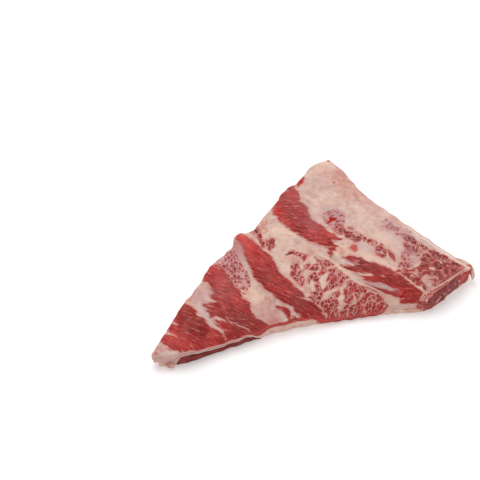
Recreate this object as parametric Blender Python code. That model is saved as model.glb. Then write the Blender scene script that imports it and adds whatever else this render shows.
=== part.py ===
"""Raw boneless beef short ribs: one three-cornered cut that lies on its outer side with the rib side up.

Sizes are in millimetres on a plan with +X towards the thick end and +Y towards the back, and Z = 0 is the
surface that the cut lies on. The cut is three layers of one piece of meat: the rib-side meat, the seam of
fat under it and, below the fat at the thin end, a strip of outer muscle.
"""

import bpy
import numpy as np

MM = 0.001
LAYER_GAP = 0.3
MIDDLE = (0.0, -2.2)             # the point of the plan that becomes the origin

# Corners of the plan. The thin tip and the thick corner are both a little blunt.
TIP_FRONT = (-151, -128)
TIP_BACK = (-154, -121)
FRONT_CORNER = (103, -64)
THICK_CORNER_FRONT = (147, -28)
THICK_CORNER_BACK = (149, -17)
BACK_CORNER = (19, 126)

# How far each side bows outwards from the straight line between its corners: (share of the side, bow).
FRONT_BOW = [
    (0, 0), (0.09, 2.8), (0.21, -1.4), (0.36, -7), (0.47, -10.8), (0.6, -10.8), (0.74, -9), (0.9, -4.5), (1, 0),
]
END_BOW = [(0, 0), (0.3, 1.2), (0.7, 0.4), (1, 0)]
SPINE_BOW = [
    (0, 0), (0.06, 1.6), (0.14, 5.6), (0.2, 8.4), (0.3, 11.2), (0.37, 13.6), (0.43, 13.4), (0.47, 12.8),
    (0.52, 15.6), (0.59, 7.2), (0.64, 9), (0.7, 6.4), (0.75, 8.6), (0.81, 6.2), (0.87, 6.8), (0.93, 7.4),
    (0.98, 0.6), (1, 0),
]
BACK_BOW = [
    (0, 0), (0.07, -0.4), (0.17, -3), (0.26, -7.2), (0.34, -8.4), (0.54, -6.8), (0.7, -4.9), (0.85, -2.8), (1, 0),
]
NIBBLE = 0.7                     # knife marks along the outline
STATIONS_FRONT, STATIONS_END = 58, 16
STATIONS_SPINE = 46              # the rest of the stations run along the back side

# Heights of the rib side.
CROWN_THIN, CROWN_THICK = 22.5, 27.0
RIM_SPINE, RIM_BACK, RIM_END = 18.0, 14.0, 25.0
RISE_FRONT, RISE_SPINE, RISE_BACK, RISE_END = 11.0, 9.0, 16.0, 8.0
RIM_ROUND = 2.4                  # inset of the top edge from the outline
FOOT_ROUND = 1.2                 # inset of every lower edge, and of the seams

# The muscles between the ribs stand proud of the beds where the ribs lay. Each has its height or depth and
# (x, y, half width) along it.
RIB_MUSCLES = [
    (3.6, [(-130, -68, 9), (-122, -84, 14), (-116, -100, 19), (-110, -116, 20)]),
    (4.6, [(-101, -29, 11), (-93, -47, 10), (-88, -60, 12), (-80, -80, 18), (-66, -100, 19)]),
    (6.0, [(-76, 14, 8), (-62, -5, 10), (-53, -25, 13), (-45, -42, 14), (-30, -59, 12), (-5, -79, 9)]),
    (5.2, [(-32, 70, 20), (-25, 47, 18), (-15, 33, 15), (-4, 18, 12), (10, 7, 9)]),
    (4.6, [(22, -15, 7), (34, -25, 9), (47, -34, 11), (63, -44, 13), (80, -54, 12), (96, -63, 8)]),
]
RIB_BEDS = [
    (1.2, [(-118, -58, 8), (-108, -84, 7), (-92, -104, 5)]),
    (2.0, [(-84, -6, 11), (-73, -33, 12), (-60, -62, 11), (-44, -84, 12)]),
    (2.6, [(-62, 20, 14), (-30, -2, 16), (2, -34, 17), (30, -62, 15)]),
    (1.8, [(2, 62, 10), (24, 22, 9), (52, -4, 10), (96, -40, 9)]),
]
MEAT_ROUGH = 0.5

# The layer of fat and the strip of muscle under it.
FAT_MIDDLE = 4.0
FAT_EDGE = 2.2
FAT_SHOWS = [                    # (from x, to x, more height) in front
    (-150, -114, 2.8), (-114, -68, 1.5), (-51, -1, 9.6), (64, 100, 5.8),
]
STRIP_HEIGHT, STRIP_LIP = 6.6, 1.3
STRIP_FROM, STRIP_TO = -131.0, -53.0
STRIP_STEP = 0.5                 # the fat comes down to the surface this far beyond it
STRIP_REACH = 0.42               # how far it runs in from the front side, as a share of the width
TIP_LIFT = 5.0                   # the thin tip of the meat stands clear of the surface

# Loose ends, as (x, y, z, radius) along each: the lappet at the thick corner hangs down over the end cut,
# and a scrap of fat lies along the front side at the thin tip.
LAPPET = [
    (137, -9, 17, 3.4), (144.5, -15.5, 17.5, 3.9), (150, -21.5, 15, 3.2), (152, -27.5, 11.5, 2.4),
    (151.5, -31, 9, 1.4),
]
SCRAP = [(-147.5, -125.5, 3.2, 1.6), (-141.5, -125.5, 4, 2.6), (-137, -127, 4.2, 3.8), (-134, -129.5, 3.6, 3.2)]
SCRAP_SIDES, SCRAP_RINGS = 12, 13

LOOKS = {                        # colour and roughness
    "rib_side_meat": ((0.36, 0.055, 0.05), 0.42),
    "fat_seam": ((0.75, 0.58, 0.5), 0.5),
    "outer_muscle_strip": ((0.24, 0.035, 0.03), 0.4),
}

TOP_STEPS = 36                   # divisions across the top
SEAM_SHARES = (0, 0.04, 0.11, 0.21, 0.33, 0.45, 0.58, 0.71, 0.84, 0.95, 1)


def smooth_step(value, low, high):
    share = np.clip((value - low) / (high - low), 0, 1)
    return share * share * (3 - 2 * share)


def bump(value, middle, width):
    return np.exp(-(((value - middle) / width) ** 2))


def ripple(x, y, length, seed):
    """Uneven waves about length long, from -1 to 1."""
    draw = np.random.default_rng(seed)
    total = 0
    for _ in range(6):
        turn, shift = draw.uniform(0, 2 * np.pi, 2)
        wave = 2 * np.pi / (length * draw.uniform(0.7, 1.5))
        total = total + np.sin(wave * (x * np.cos(turn) + y * np.sin(turn)) + shift)
    return total / 3.5


def through(points, share):
    """A smooth curve through (share, value) points, read at share."""
    at = np.array([p[0] for p in points], float)
    value = np.array([p[1] for p in points], float)
    slope = np.gradient(value, at)
    k = np.clip(np.searchsorted(at, share, side="right") - 1, 0, len(at) - 2)
    step = at[k + 1] - at[k]
    u = (share - at[k]) / step
    return (
        value[k] * (2 * u**3 - 3 * u**2 + 1)
        + value[k + 1] * (3 * u**2 - 2 * u**3)
        + slope[k] * step * (u**3 - 2 * u**2 + u)
        + slope[k + 1] * step * (u**3 - u**2)
    )


def side(start, end, bow, steps):
    """Points from one corner to the next, bowed to the outer side. The corner at the end is left out."""
    start, end = np.array(start, float), np.array(end, float)
    share = np.arange(steps) / steps
    along = end - start
    outward = np.array([along[1], -along[0]]) / np.hypot(*along)
    line = start + share[:, None] * along
    nibble = NIBBLE * ripple(line[:, 0], line[:, 1], 13, steps) * np.sin(np.pi * share)
    return line + (through(bow, share) + nibble)[:, None] * outward


def outline():
    """The front and the back edge of the plan from the thin tip to the thick corner, station by station."""
    inward = [(share, -bow) for share, bow in SPINE_BOW]
    hidden = [(share, -bow) for share, bow in BACK_BOW]
    stations_back = STATIONS_FRONT + STATIONS_END - STATIONS_SPINE
    front = [
        side(TIP_FRONT, FRONT_CORNER, FRONT_BOW, STATIONS_FRONT),
        side(FRONT_CORNER, THICK_CORNER_FRONT, END_BOW, STATIONS_END),
        [THICK_CORNER_FRONT],
    ]
    back = [
        side(TIP_BACK, BACK_CORNER, inward, STATIONS_SPINE),
        side(BACK_CORNER, THICK_CORNER_BACK, hidden, stations_back),
        [THICK_CORNER_BACK],
    ]
    return np.vstack(front), np.vstack(back)


FRONT, BACK = outline()


def off_line(x, y, line):
    """Distance from each point to a broken line, and how far along it the nearest point lies, in points."""
    best, where = np.full(np.shape(x), np.inf), np.zeros(np.shape(x))
    for k, (a, b) in enumerate(zip(line[:-1], line[1:])):
        along = b - a
        share = np.clip(((x - a[0]) * along[0] + (y - a[1]) * along[1]) / (along @ along), 0, 1)
        off = np.hypot(x - a[0] - share * along[0], y - a[1] - share * along[1])
        where = np.where(off < best, k + share, where)
        best = np.minimum(best, off)
    return best, where


def ridge(x, y, path, soft):
    """1 along the widest part of a strand of meat, 0 well outside it. soft is how much of it rounds off."""
    path = np.array(path, float)
    off, where = off_line(x, y, path[:, :2])
    half = np.interp(where, np.arange(len(path)), path[:, 2])
    return (half / path[:, 2].max()) ** 0.5 * (1 - smooth_step(off / half, 1 - soft, 1 + 0.6 * soft))


def off_sides(x, y):
    """Distances to the front cut, the end cut, the long back side and the short back side."""
    sides = (
        FRONT[: STATIONS_FRONT + 1],
        FRONT[STATIONS_FRONT:],
        BACK[: STATIONS_SPINE + 1],
        BACK[STATIONS_SPINE:],
    )
    return [off_line(x, y, line)[0] for line in sides]


def top_height(x, y):
    """Height of the rib side over the plan."""
    off_front, off_end, off_spine, off_back = off_sides(x, y)
    crown = CROWN_THIN + (CROWN_THICK - CROWN_THIN) * smooth_step(x, -110, 95)
    rim_front = 13 + 5.4 * bump(x, -130, 24) + 2.2 * bump(x, -34, 26) - 7 * bump(x, 38, 27)
    drops = (
        (crown - rim_front) * np.exp(-off_front / RISE_FRONT),
        (crown - RIM_END) * np.exp(-off_end / RISE_END),
        (crown - RIM_SPINE) * np.exp(-off_spine / RISE_SPINE),
        (crown - RIM_BACK) * np.exp(-off_back / RISE_BACK),
    )
    height = crown - np.sqrt(sum(drop**2 for drop in drops))
    near_front = smooth_step(off_front, 0, 26)
    for proud, path in RIB_MUSCLES:
        height = height + proud * ridge(x, y, path, 0.75) * (0.3 + 0.7 * near_front)
    for deep, path in RIB_BEDS:
        height = height - deep * ridge(x, y, path, 0.9) * near_front
    return height + MEAT_ROUGH * ripple(x, y, 17, 3) + 0.5 * MEAT_ROUGH * ripple(x, y, 8, 4)


def strip_height(x, share):
    """Height of the outer muscle strip, from its lip inside to the front side."""
    along = smooth_step(x, STRIP_FROM - 8, STRIP_FROM + 7) - smooth_step(x, STRIP_TO - 15, STRIP_TO + 5)
    inward = 1 - smooth_step(share, 0.12, STRIP_REACH)
    tall = STRIP_HEIGHT + 4.6 * (1 - smooth_step(x, -124, -94)) + 1.8 * bump(x, -64, 9)
    return STRIP_LIP + (tall - STRIP_LIP) * along * inward


def seam_height(x, y, share):
    """Height of the seam between the fat and the meat on it."""
    off_front, off_end, off_spine, _ = off_sides(x, y)
    shows = FAT_EDGE + sum(
        more * smooth_step(x, start - 6, start + 6) * (1 - smooth_step(x, stop - 6, stop + 6))
        for start, stop, more in FAT_SHOWS
    )
    strip = strip_height(x, share) * smooth_step(x, STRIP_FROM - 14, STRIP_FROM) * (
        1 - smooth_step(x, STRIP_TO - 4, STRIP_TO + 12)
    )
    edge = np.exp(-off_front / 9)
    ends = np.minimum(off_end, off_spine)
    inside = FAT_MIDDLE - (FAT_MIDDLE - FAT_EDGE - 0.6) * np.exp(-ends / 8)
    lift = TIP_LIFT * (1 - smooth_step(x, -150, -128))
    return inside * (1 - edge) + shows * edge + strip + lift + 0.25 * ripple(x, y, 30, 8)


def across(station, share, inset):
    """Points on the line from the front to the back edge at a station, both ends drawn in by inset."""
    start, along = FRONT[station], BACK[station] - FRONT[station]
    drawn = min(inset / np.hypot(*along), 0.22)
    return start + (drawn + share * (1 - 2 * drawn))[:, None] * along


def ring(station, under, over, rim_inset, wall_rows):
    """Closed ring of a layer at a station: under it, up the back, over it and down the front.

    under and over are (shares of the width, height function), both from the front to the back of the layer.
    """
    low_share, low = under
    high_share, high = over
    bottom = across(station, low_share, FOOT_ROUND)
    top = across(station, high_share, rim_inset)
    bottom = np.c_[bottom, low(*bottom.T, low_share, station)]
    top = np.c_[top, high(*top.T, high_share, station)]
    walls = []
    for end in (-1, 0):
        share = low_share[end]
        foot = across(station, np.array([share]), 0)[0] if share in (0, 1) else bottom[end, :2]
        walls.append([(*foot, bottom[end, 2] + r * (top[end, 2] - bottom[end, 2])) for r in wall_rows])
    return np.vstack([bottom, walls[0], top[::-1], walls[1][::-1]])


def skin(name, rings, turned_from=None):
    """Closes a row of rings into one object. From point turned_from on, quads split the other way."""
    count = len(rings[0])
    turned_from = count if turned_from is None else turned_from
    faces = []
    for k in range(len(rings) - 1):
        for j in range(count):
            a, b = k * count + j, k * count + (j + 1) % count
            c, d = b + count, a + count
            faces += [(a, b, d), (b, c, d)] if j >= turned_from else [(a, b, c), (a, c, d)]
    points = [point for row in rings for point in row]
    for first, row, turn in ((0, rings[0], -1), ((len(rings) - 1) * count, rings[-1], 1)):
        faces += [(first + j, first + (j + 1) % count, len(points))[::turn] for j in range(count)]
        points.append(np.mean(row, axis=0))
    points = (np.array(points) - (*MIDDLE, 0)) * MM
    mesh = bpy.data.meshes.new(name)
    mesh.from_pydata(points.tolist(), [], faces)
    piece = bpy.data.objects.new(name, mesh)
    bpy.context.scene.collection.objects.link(piece)
    return piece


def layer(name, stations, under, over, rim_inset, wall_rows):
    """One closed layer of the cut. under(k) and over(k) are its two sides at station k, as for ring()."""
    rings = [ring(k, under(k), over(k), rim_inset, wall_rows) for k in stations]
    return skin(name, rings, len(under(stations[0])[0]))


def scrap(name, path):
    """A tapering lump of fat along (x, y, z, radius) points."""
    path = np.array(path, float)
    at = np.linspace(0, len(path) - 1, SCRAP_RINGS)
    rings = []
    for n, where in enumerate(at):
        x, y, z, radius = [np.interp(where, np.arange(len(path)), path[:, c]) for c in range(4)]
        ahead = path[min(int(where) + 1, len(path) - 1), :2] - path[min(int(where), len(path) - 2), :2]
        sideways = np.array([-ahead[1], ahead[0]]) / np.hypot(*ahead)
        end = np.sin(np.pi * np.clip((n + 0.6) / SCRAP_RINGS, 0, 1)) ** 0.45
        angle = np.linspace(0, 2 * np.pi, SCRAP_SIDES, endpoint=False)
        wide, tall = radius * end * np.cos(angle), 0.75 * radius * end * np.sin(angle)
        rings.append(np.c_[x + wide * sideways[0], y + wide * sideways[1], np.maximum(z + tall, 0.02)])
    return skin(name, rings)


def join(piece, others):
    """Boolean union of the scraps with the piece they hang on."""
    bunch = bpy.data.collections.new(piece.name + "_scraps")
    bpy.context.scene.collection.children.link(bunch)
    for other in others:
        bpy.context.scene.collection.objects.unlink(other)
        bunch.objects.link(other)
    union = piece.modifiers.new("union", "BOOLEAN")
    union.operation, union.operand_type, union.collection = "UNION", "COLLECTION", bunch
    union.solver = "EXACT"
    bpy.context.view_layer.update()
    whole = bpy.data.meshes.new_from_object(piece.evaluated_get(bpy.context.evaluated_depsgraph_get()))
    piece.modifiers.clear()
    piece.data = whole
    for other in others:
        bpy.data.objects.remove(other)
    bpy.data.collections.remove(bunch)


def finish(piece):
    """Outward faces, smooth shading and the layer's own material."""
    material = bpy.data.materials.new(piece.name)
    material.use_nodes = True
    shader = material.node_tree.nodes["Principled BSDF"]
    colour, roughness = LOOKS[piece.name]
    shader.inputs["Base Color"].default_value = (*colour, 1)
    shader.inputs["Roughness"].default_value = roughness
    shader.inputs["Metallic"].default_value = 0.0
    piece.data.materials.clear()
    piece.data.materials.append(material)
    piece.data.shade_smooth()
    piece.data.set_sharp_from_angle(angle=np.radians(50))


def build():
    for old in list(bpy.data.objects):
        bpy.data.objects.remove(old)
    last = STATIONS_FRONT + STATIONS_END
    strip_stations = [k for k in range(last) if STRIP_FROM < FRONT[k, 0] < STRIP_TO]
    strip_share = np.linspace(0, STRIP_REACH, 5)
    seam_share = np.array(SEAM_SHARES)
    top_share = np.linspace(0, 1, TOP_STEPS + 1)

    def flat(x, y, share, station):
        return 0 * x

    def strip_top(x, y, share, station):
        return strip_height(x, share)

    def seam(x, y, share, station):
        return seam_height(x, y, share)

    def over_seam(x, y, share, station):
        return seam_height(x, y, share) + LAYER_GAP

    def rib_side(x, y, share, station):
        return top_height(x, y)

    def fat_underside(x, y, share, station):
        covers = (share <= STRIP_REACH) & (station in strip_stations)
        return np.where(covers, strip_height(x, share) + LAYER_GAP, 0)

    def under_fat(station):
        step = STRIP_STEP / np.hypot(*(BACK[station] - FRONT[station]))
        outside = STRIP_REACH + (1 - STRIP_REACH) * np.array([0.2, 0.5, 0.8, 1])
        return np.r_[strip_share, STRIP_REACH + step, outside], fat_underside

    meat = layer(
        "rib_side_meat",
        range(last + 1),
        lambda k: (seam_share, over_seam),
        lambda k: (top_share, rib_side),
        RIM_ROUND,
        (0.3, 0.72),
    )
    join(meat, [scrap("lappet", LAPPET)])
    fat = layer("fat_seam", range(1, last + 1), under_fat, lambda k: (seam_share, seam), FOOT_ROUND, (0.5,))
    join(fat, [scrap("scrap", SCRAP)])
    strip = layer(
        "outer_muscle_strip",
        strip_stations,
        lambda k: (strip_share, flat),
        lambda k: (strip_share, strip_top),
        FOOT_ROUND,
        (0.5,),
    )
    for piece in (meat, fat, strip):
        finish(piece)


build()
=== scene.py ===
import bpy
import numpy as np
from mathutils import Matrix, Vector


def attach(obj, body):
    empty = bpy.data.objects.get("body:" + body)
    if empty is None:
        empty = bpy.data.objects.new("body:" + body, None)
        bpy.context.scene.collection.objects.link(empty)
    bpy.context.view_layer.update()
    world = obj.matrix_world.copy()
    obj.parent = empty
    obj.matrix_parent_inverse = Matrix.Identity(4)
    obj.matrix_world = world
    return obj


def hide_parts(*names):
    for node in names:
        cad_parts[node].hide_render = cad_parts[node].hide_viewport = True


mm = 0.001
middle = (0.0, -2.2)  # the point of the plan that is the part's origin

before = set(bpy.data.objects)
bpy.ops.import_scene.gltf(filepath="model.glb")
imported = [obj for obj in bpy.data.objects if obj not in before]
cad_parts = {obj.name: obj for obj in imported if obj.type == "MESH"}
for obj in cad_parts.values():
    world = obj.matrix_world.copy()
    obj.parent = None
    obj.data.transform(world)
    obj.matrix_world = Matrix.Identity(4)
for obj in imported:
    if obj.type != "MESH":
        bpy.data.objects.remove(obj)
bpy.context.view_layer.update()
print("frame loaded")

# The photograph's camera, in millimetres and degrees, and the photograph's side in pixels.
shot = dict(side=480, lens=100, sensor=36, distance=1333, elevation=50, aim=(-73, 27, 0), near=10)
tilt = np.radians(shot["elevation"])
towards = np.array([0, -np.cos(tilt), np.sin(tilt)])  # from the aim to the camera
upward = np.array([0, np.sin(tilt), np.cos(tilt)])
eye = np.array(shot["aim"]) + shot["distance"] * towards


def inPhoto(x, y, z):
    # the photograph's pixel that a point of the cut falls on
    ray = np.stack([x - eye[0], y - eye[1], z - eye[2]], axis=-1)
    zoom = shot["lens"] / shot["sensor"] * shot["side"] / (-ray @ towards)
    return shot["side"] / 2 + ray[..., 0] * zoom, shot["side"] / 2 - (ray @ upward) * zoom


def smoothStep(value, low, high):
    # 0 up to low, 1 from high on
    share = np.clip((value - low) / (high - low), 0, 1)
    return share * share * (3 - 2 * share)


def between(value, span):
    # 1 in a span of (starts, full from, full to, ends), 0 before and after it
    starts, fullFrom, fullTo, ends = span
    return smoothStep(value, starts, fullFrom) * (1 - smoothStep(value, fullTo, ends))


def bump(value, centre, width):
    # 1 at the centre, falling off over the width on both sides
    return np.exp(-(((value - centre) / width) ** 2))


def ripple(x, y, length, seed, waves=6):
    # uneven waves about length long, from -1 to 1, drawn from a seed
    draw = np.random.default_rng(seed)
    total = 0
    for _ in range(waves):
        turn, shift = draw.uniform(0, 2 * np.pi, 2)
        wave = 2 * np.pi / (length * draw.uniform(0.7, 1.5))
        total = total + np.sin(wave * (x * np.cos(turn) + y * np.sin(turn)) + shift)
    return total / 3.5  # about what six waves come to at most


def lumps(points, size, seed):
    # smooth unevenness from -1 to 1, with lumps about size across, drawn from a seed
    count = 32  # of random values each way, after which they repeat
    table = np.random.default_rng(seed).uniform(-1, 1, (count, count, count))
    place = np.asarray(points) / size
    cell = np.floor(place).astype(int)
    part = place - cell
    part = part * part * (3 - 2 * part)
    total = 0
    for corner in np.ndindex(2, 2, 2):
        weight = np.prod(np.where(corner, part, 1 - part), axis=-1)
        index = (cell + corner) % count
        total = total + weight * table[index[..., 0], index[..., 1], index[..., 2]]
    return total


def flatLumps(x, y, size, seed):
    # lumps over the plan, or over the photograph
    return lumps(np.stack([x, y, 0 * x], axis=-1), size, seed)


def cells(x, y, size, seed):
    # uneven cells about size across: distance to their border and a number from 0 to 1 for each
    count = 64
    draw = np.random.default_rng(seed)
    jitter, number = draw.uniform(0.05, 0.95, (count, count, 2)), draw.uniform(0, 1, (count, count))
    place = np.stack([x, y], axis=-1) / size
    cell = np.floor(place).astype(int)
    far = 9.0
    first, second, value = np.full(np.shape(x), far), np.full(np.shape(x), far), np.zeros(np.shape(x))
    for step in np.ndindex(3, 3):
        near = cell + np.array(step) - 1
        index = near[..., 0] % count, near[..., 1] % count
        off = np.linalg.norm(near + jitter[index] - place, axis=-1)
        second = np.minimum(second, np.maximum(first, off))
        value = np.where(off < first, number[index], value)
        first = np.minimum(first, off)
    return (second - first) * size / 2, value


def through(points, share):
    # a smooth curve through (share, value) points, read at share
    at = np.array([p[0] for p in points], float)
    value = np.array([p[1] for p in points], float)
    slope = np.gradient(value, at)
    k = np.clip(np.searchsorted(at, share, side="right") - 1, 0, len(at) - 2)
    step = at[k + 1] - at[k]
    u = (share - at[k]) / step
    return (
        value[k] * (2 * u**3 - 3 * u**2 + 1)
        + value[k + 1] * (3 * u**2 - 2 * u**3)
        + slope[k] * step * (u**3 - 2 * u**2 + u)
        + slope[k + 1] * step * (u**3 - u**2)
    )


def offLine(x, y, line):
    # distance to a broken line, and how far along it the nearest point lies, in points
    best, where = np.full(np.shape(x), np.inf), np.zeros(np.shape(x))
    for k, (a, b) in enumerate(zip(line[:-1], line[1:])):
        along = b - a
        share = np.clip(((x - a[0]) * along[0] + (y - a[1]) * along[1]) / (along @ along), 0, 1)
        off = np.hypot(x - a[0] - share * along[0], y - a[1] - share * along[1])
        where = np.where(off < best, k + share, where)
        best = np.minimum(best, off)
    return best, where


def insideBy(x, y, outline):
    # how far inside a closed outline a point lies, negative outside it
    outline = np.array(outline, float)
    off = offLine(x, y, np.vstack([outline, outline[:1]]))[0]
    inside = np.zeros(np.shape(x), bool)
    for a, b in zip(outline, np.roll(outline, -1, axis=0)):
        if a[1] != b[1]:
            inside ^= ((a[1] > y) != (b[1] > y)) & (x < (b[0] - a[0]) * (y - a[1]) / (b[1] - a[1]) + a[0])
    return np.where(inside, off, -off)


def onLine(x, y, points):
    # how far inside a line of (x, y, width) points a point lies, negative outside it
    points = np.array(points, float)
    off, where = offLine(x, y, points[:, :2])
    return np.interp(where, np.arange(len(points)), points[:, 2]) / 2 - off


def inOval(x, y, oval):
    # coordinates in an oval of (x, y, half length, half width, turn in degrees), 1 at its ends
    cx, cy, long, wide, turn = oval[:5]
    turn = np.radians(turn)
    ahead = ((x - cx) * np.cos(turn) + (y - cy) * np.sin(turn)) / long
    aside = (-(x - cx) * np.sin(turn) + (y - cy) * np.cos(turn)) / wide
    return ahead, aside


def inSpot(x, y, spot):
    # 1 in the middle of an oval spot, falling off to 0
    ahead, aside = inOval(x, y, spot)
    return np.exp(-((ahead**2 + aside**2) ** 1.5))


def onRing(x, y, ring):
    # how far inside the line of an oval ring a point lies, the line's width being the ring's sixth number
    ahead, aside = inOval(x, y, ring)
    return ring[5] / 2 - abs(np.hypot(ahead, aside) - 1) * min(ring[2:4])


# The cut's outline, as in the part. The bows are how far each side leaves the straight line between its
# corners, as (share of the way, mm to the right of the way).
corners = dict(
    tipFront=(-151, -128), tipBack=(-154, -121), front=(103, -64), thickFront=(147, -28),
    thickBack=(149, -17), back=(19, 126),
)
frontBow = [
    (0, 0), (0.09, 2.8), (0.21, -1.4), (0.36, -7), (0.47, -10.8), (0.6, -10.8), (0.74, -9), (0.9, -4.5),
    (1, 0),
]
endBow = [(0, 0), (0.3, 1.2), (0.7, 0.4), (1, 0)]
spineBow = [
    (0, 0), (0.06, -1.6), (0.14, -5.6), (0.2, -8.4), (0.3, -11.2), (0.37, -13.6), (0.43, -13.4),
    (0.47, -12.8), (0.52, -15.6), (0.59, -7.2), (0.64, -9), (0.7, -6.4), (0.75, -8.6), (0.81, -6.2),
    (0.87, -6.8), (0.93, -7.4), (0.98, -0.6), (1, 0),
]
backBow = [
    (0, 0), (0.07, 0.4), (0.17, 3), (0.26, 7.2), (0.34, 8.4), (0.54, 6.8), (0.7, 4.9), (0.85, 2.8), (1, 0),
]
nibble = dict(depth=0.7, length=13)
partSteps, frontCorner, backCorner = 74, 58, 46  # the part's stations, and those at the corners of its edges


def side(start, end, bow, share, seed):
    # one side of the plan at shares of the way, with its bow and its nibbles
    start, end = np.array(corners[start], float), np.array(corners[end], float)
    along = end - start
    outward = np.array([along[1], -along[0]]) / np.hypot(*along)
    line = start + share[:, None] * along
    wobble = nibble["depth"] * ripple(*line.T, nibble["length"], seed) * np.sin(np.pi * share)
    return line + (through(bow, share) + wobble)[:, None] * outward


def edge(u, names, bows, corner):
    # one edge of the plan, of two sides; as in the part, the nibbles' seed is the side's number of stations
    share = corner / partSteps
    return np.where(
        (u < share)[:, None],
        side(names[0], names[1], bows[0], np.clip(u / share, 0, 1), corner),
        side(names[1], names[2], bows[1], np.clip((u - share) / (1 - share), 0, 1), partSteps - corner),
    )


def edges(u):
    # the front and the back edge of the plan at shares u of the way from the thin tip to the thick corner
    front = edge(u, ("tipFront", "front", "thickFront"), (frontBow, endBow), frontCorner)
    back = edge(u, ("tipBack", "back", "thickBack"), (spineBow, backBow), backCorner)
    return front, back


partFront, partBack = edges(np.arange(partSteps + 1) / partSteps)

# Heights of the rib side and of the seams, in mm, as in the part.
crown = dict(thin=22.5, thick=27.0, thinTo=-110, thickFrom=95)
rim = dict(front=13, end=25.0, spine=18.0, back=14.0)
reach = dict(front=11.0, end=8.0, spine=9.0, back=16.0)  # how far in each side the rim rises to the crown
frontRim = [(5.4, -130, 24), (2.2, -34, 26), (-7, 38, 27)]  # the front rim is higher by (mm, at x, width)
ribMuscles = [  # height, then (x, y, half width) along each
    (3.6, [(-130, -68, 9), (-122, -84, 14), (-116, -100, 19), (-110, -116, 20)]),
    (4.6, [(-101, -29, 11), (-93, -47, 10), (-88, -60, 12), (-80, -80, 18), (-66, -100, 19)]),
    (6.0, [(-76, 14, 8), (-62, -5, 10), (-53, -25, 13), (-45, -42, 14), (-30, -59, 12), (-5, -79, 9)]),
    (5.2, [(-32, 70, 20), (-25, 47, 18), (-15, 33, 15), (-4, 18, 12), (10, 7, 9)]),
    (4.6, [(22, -15, 7), (34, -25, 9), (47, -34, 11), (63, -44, 13), (80, -54, 12), (96, -63, 8)]),
]
ribBeds = [  # depth, then (x, y, half width) along each
    (1.2, [(-118, -58, 8), (-108, -84, 7), (-92, -104, 5)]),
    (2.0, [(-84, -6, 11), (-73, -33, 12), (-60, -62, 11), (-44, -84, 12)]),
    (2.6, [(-62, 20, 14), (-30, -2, 16), (2, -34, 17), (30, -62, 15)]),
    (1.8, [(2, 62, 10), (24, 22, 9), (52, -4, 10), (96, -40, 9)]),
]
ribSoft = dict(muscle=0.75, bed=0.9, clearOfFront=26, atFront=0.3)  # muscles are lower along the front side
meatRough = dict(height=0.5, length=17, fineLength=8)
fatForm = dict(middle=4.0, edge=2.2, tipLift=5.0, tip=(-150, -128), soft=6, rough=0.25)
fatShows = [(-150, -114, 2.8), (-114, -68, 1.5), (-51, -1, 9.6), (64, 100, 5.8)]  # (from x, to x, more mm)
# The strip of outer muscle: more height at its tip, and a bulge of (mm, at x, width).
strip = dict(
    height=6.6, lip=1.3, start=-131.0, stop=-53.0, reach=0.42, atTip=4.6, tip=(-124, -94),
    bulge=(1.8, -64, 9),
)


def ridge(x, y, path, soft):
    # highest along a path of (x, y, half width) points, falling off to 0 beyond its half width
    path = np.array(path, float)
    off, where = offLine(x, y, path[:, :2])
    half = np.interp(where, np.arange(len(path)), path[:, 2])
    return (half / path[:, 2].max()) ** 0.5 * (1 - smoothStep(off / half, 1 - soft, 1 + 0.6 * soft))


def offSides(x, y):
    # distances to the front side, the end cut, the spine side and the back side
    front, end = partFront[: frontCorner + 1], partFront[frontCorner:]
    spine, back = partBack[: backCorner + 1], partBack[backCorner:]
    return [offLine(x, y, line)[0] for line in (front, end, spine, back)]


def ribTop(x, y):
    # the rib side's height: a crown that drops to the rims, muscles proud of it and beds sunk into it
    thicker = smoothStep(x, crown["thinTo"], crown["thickFrom"])
    high = crown["thin"] + (crown["thick"] - crown["thin"]) * thicker
    frontHigh = rim["front"] + sum(more * bump(x, at, width) for more, at, width in frontRim)
    off = offSides(x, y)
    squares = 0
    for name, away in zip(("front", "end", "spine", "back"), off):
        low = frontHigh if name == "front" else rim[name]
        squares = squares + ((high - low) * np.exp(-away / reach[name])) ** 2
    height = high - np.sqrt(squares)
    nearFront = smoothStep(off[0], 0, ribSoft["clearOfFront"])
    for proud, path in ribMuscles:
        clear = ribSoft["atFront"] + (1 - ribSoft["atFront"]) * nearFront
        height = height + proud * ridge(x, y, path, ribSoft["muscle"]) * clear
    for deep, path in ribBeds:
        height = height - deep * ridge(x, y, path, ribSoft["bed"]) * nearFront
    rough = ripple(x, y, meatRough["length"], 3) + 0.5 * ripple(x, y, meatRough["fineLength"], 4)
    return height + meatRough["height"] * rough


def stripTop(x, share):
    # how high the fat lies over the strip of outer muscle
    start, stop, (more, at, width) = strip["start"], strip["stop"], strip["bulge"]
    along = smoothStep(x, start - 8, start + 7) - smoothStep(x, stop - 15, stop + 5)
    inward = 1 - smoothStep(share, 0.12, strip["reach"])
    atTip = strip["atTip"] * (1 - smoothStep(x, *strip["tip"]))
    tall = strip["height"] + atTip + more * bump(x, at, width)
    return strip["lip"] + (tall - strip["lip"]) * along * inward


def stripShape(x, share):
    # the strip's top: it thins out to nothing at both ends and inside
    start, stop = strip["start"], strip["stop"]
    ends = between(x, (start - 2, start + 3, stop - 9, stop))
    return stripTop(x, share) * ends * (1 - smoothStep(share, strip["reach"] - 0.06, strip["reach"]))


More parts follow.
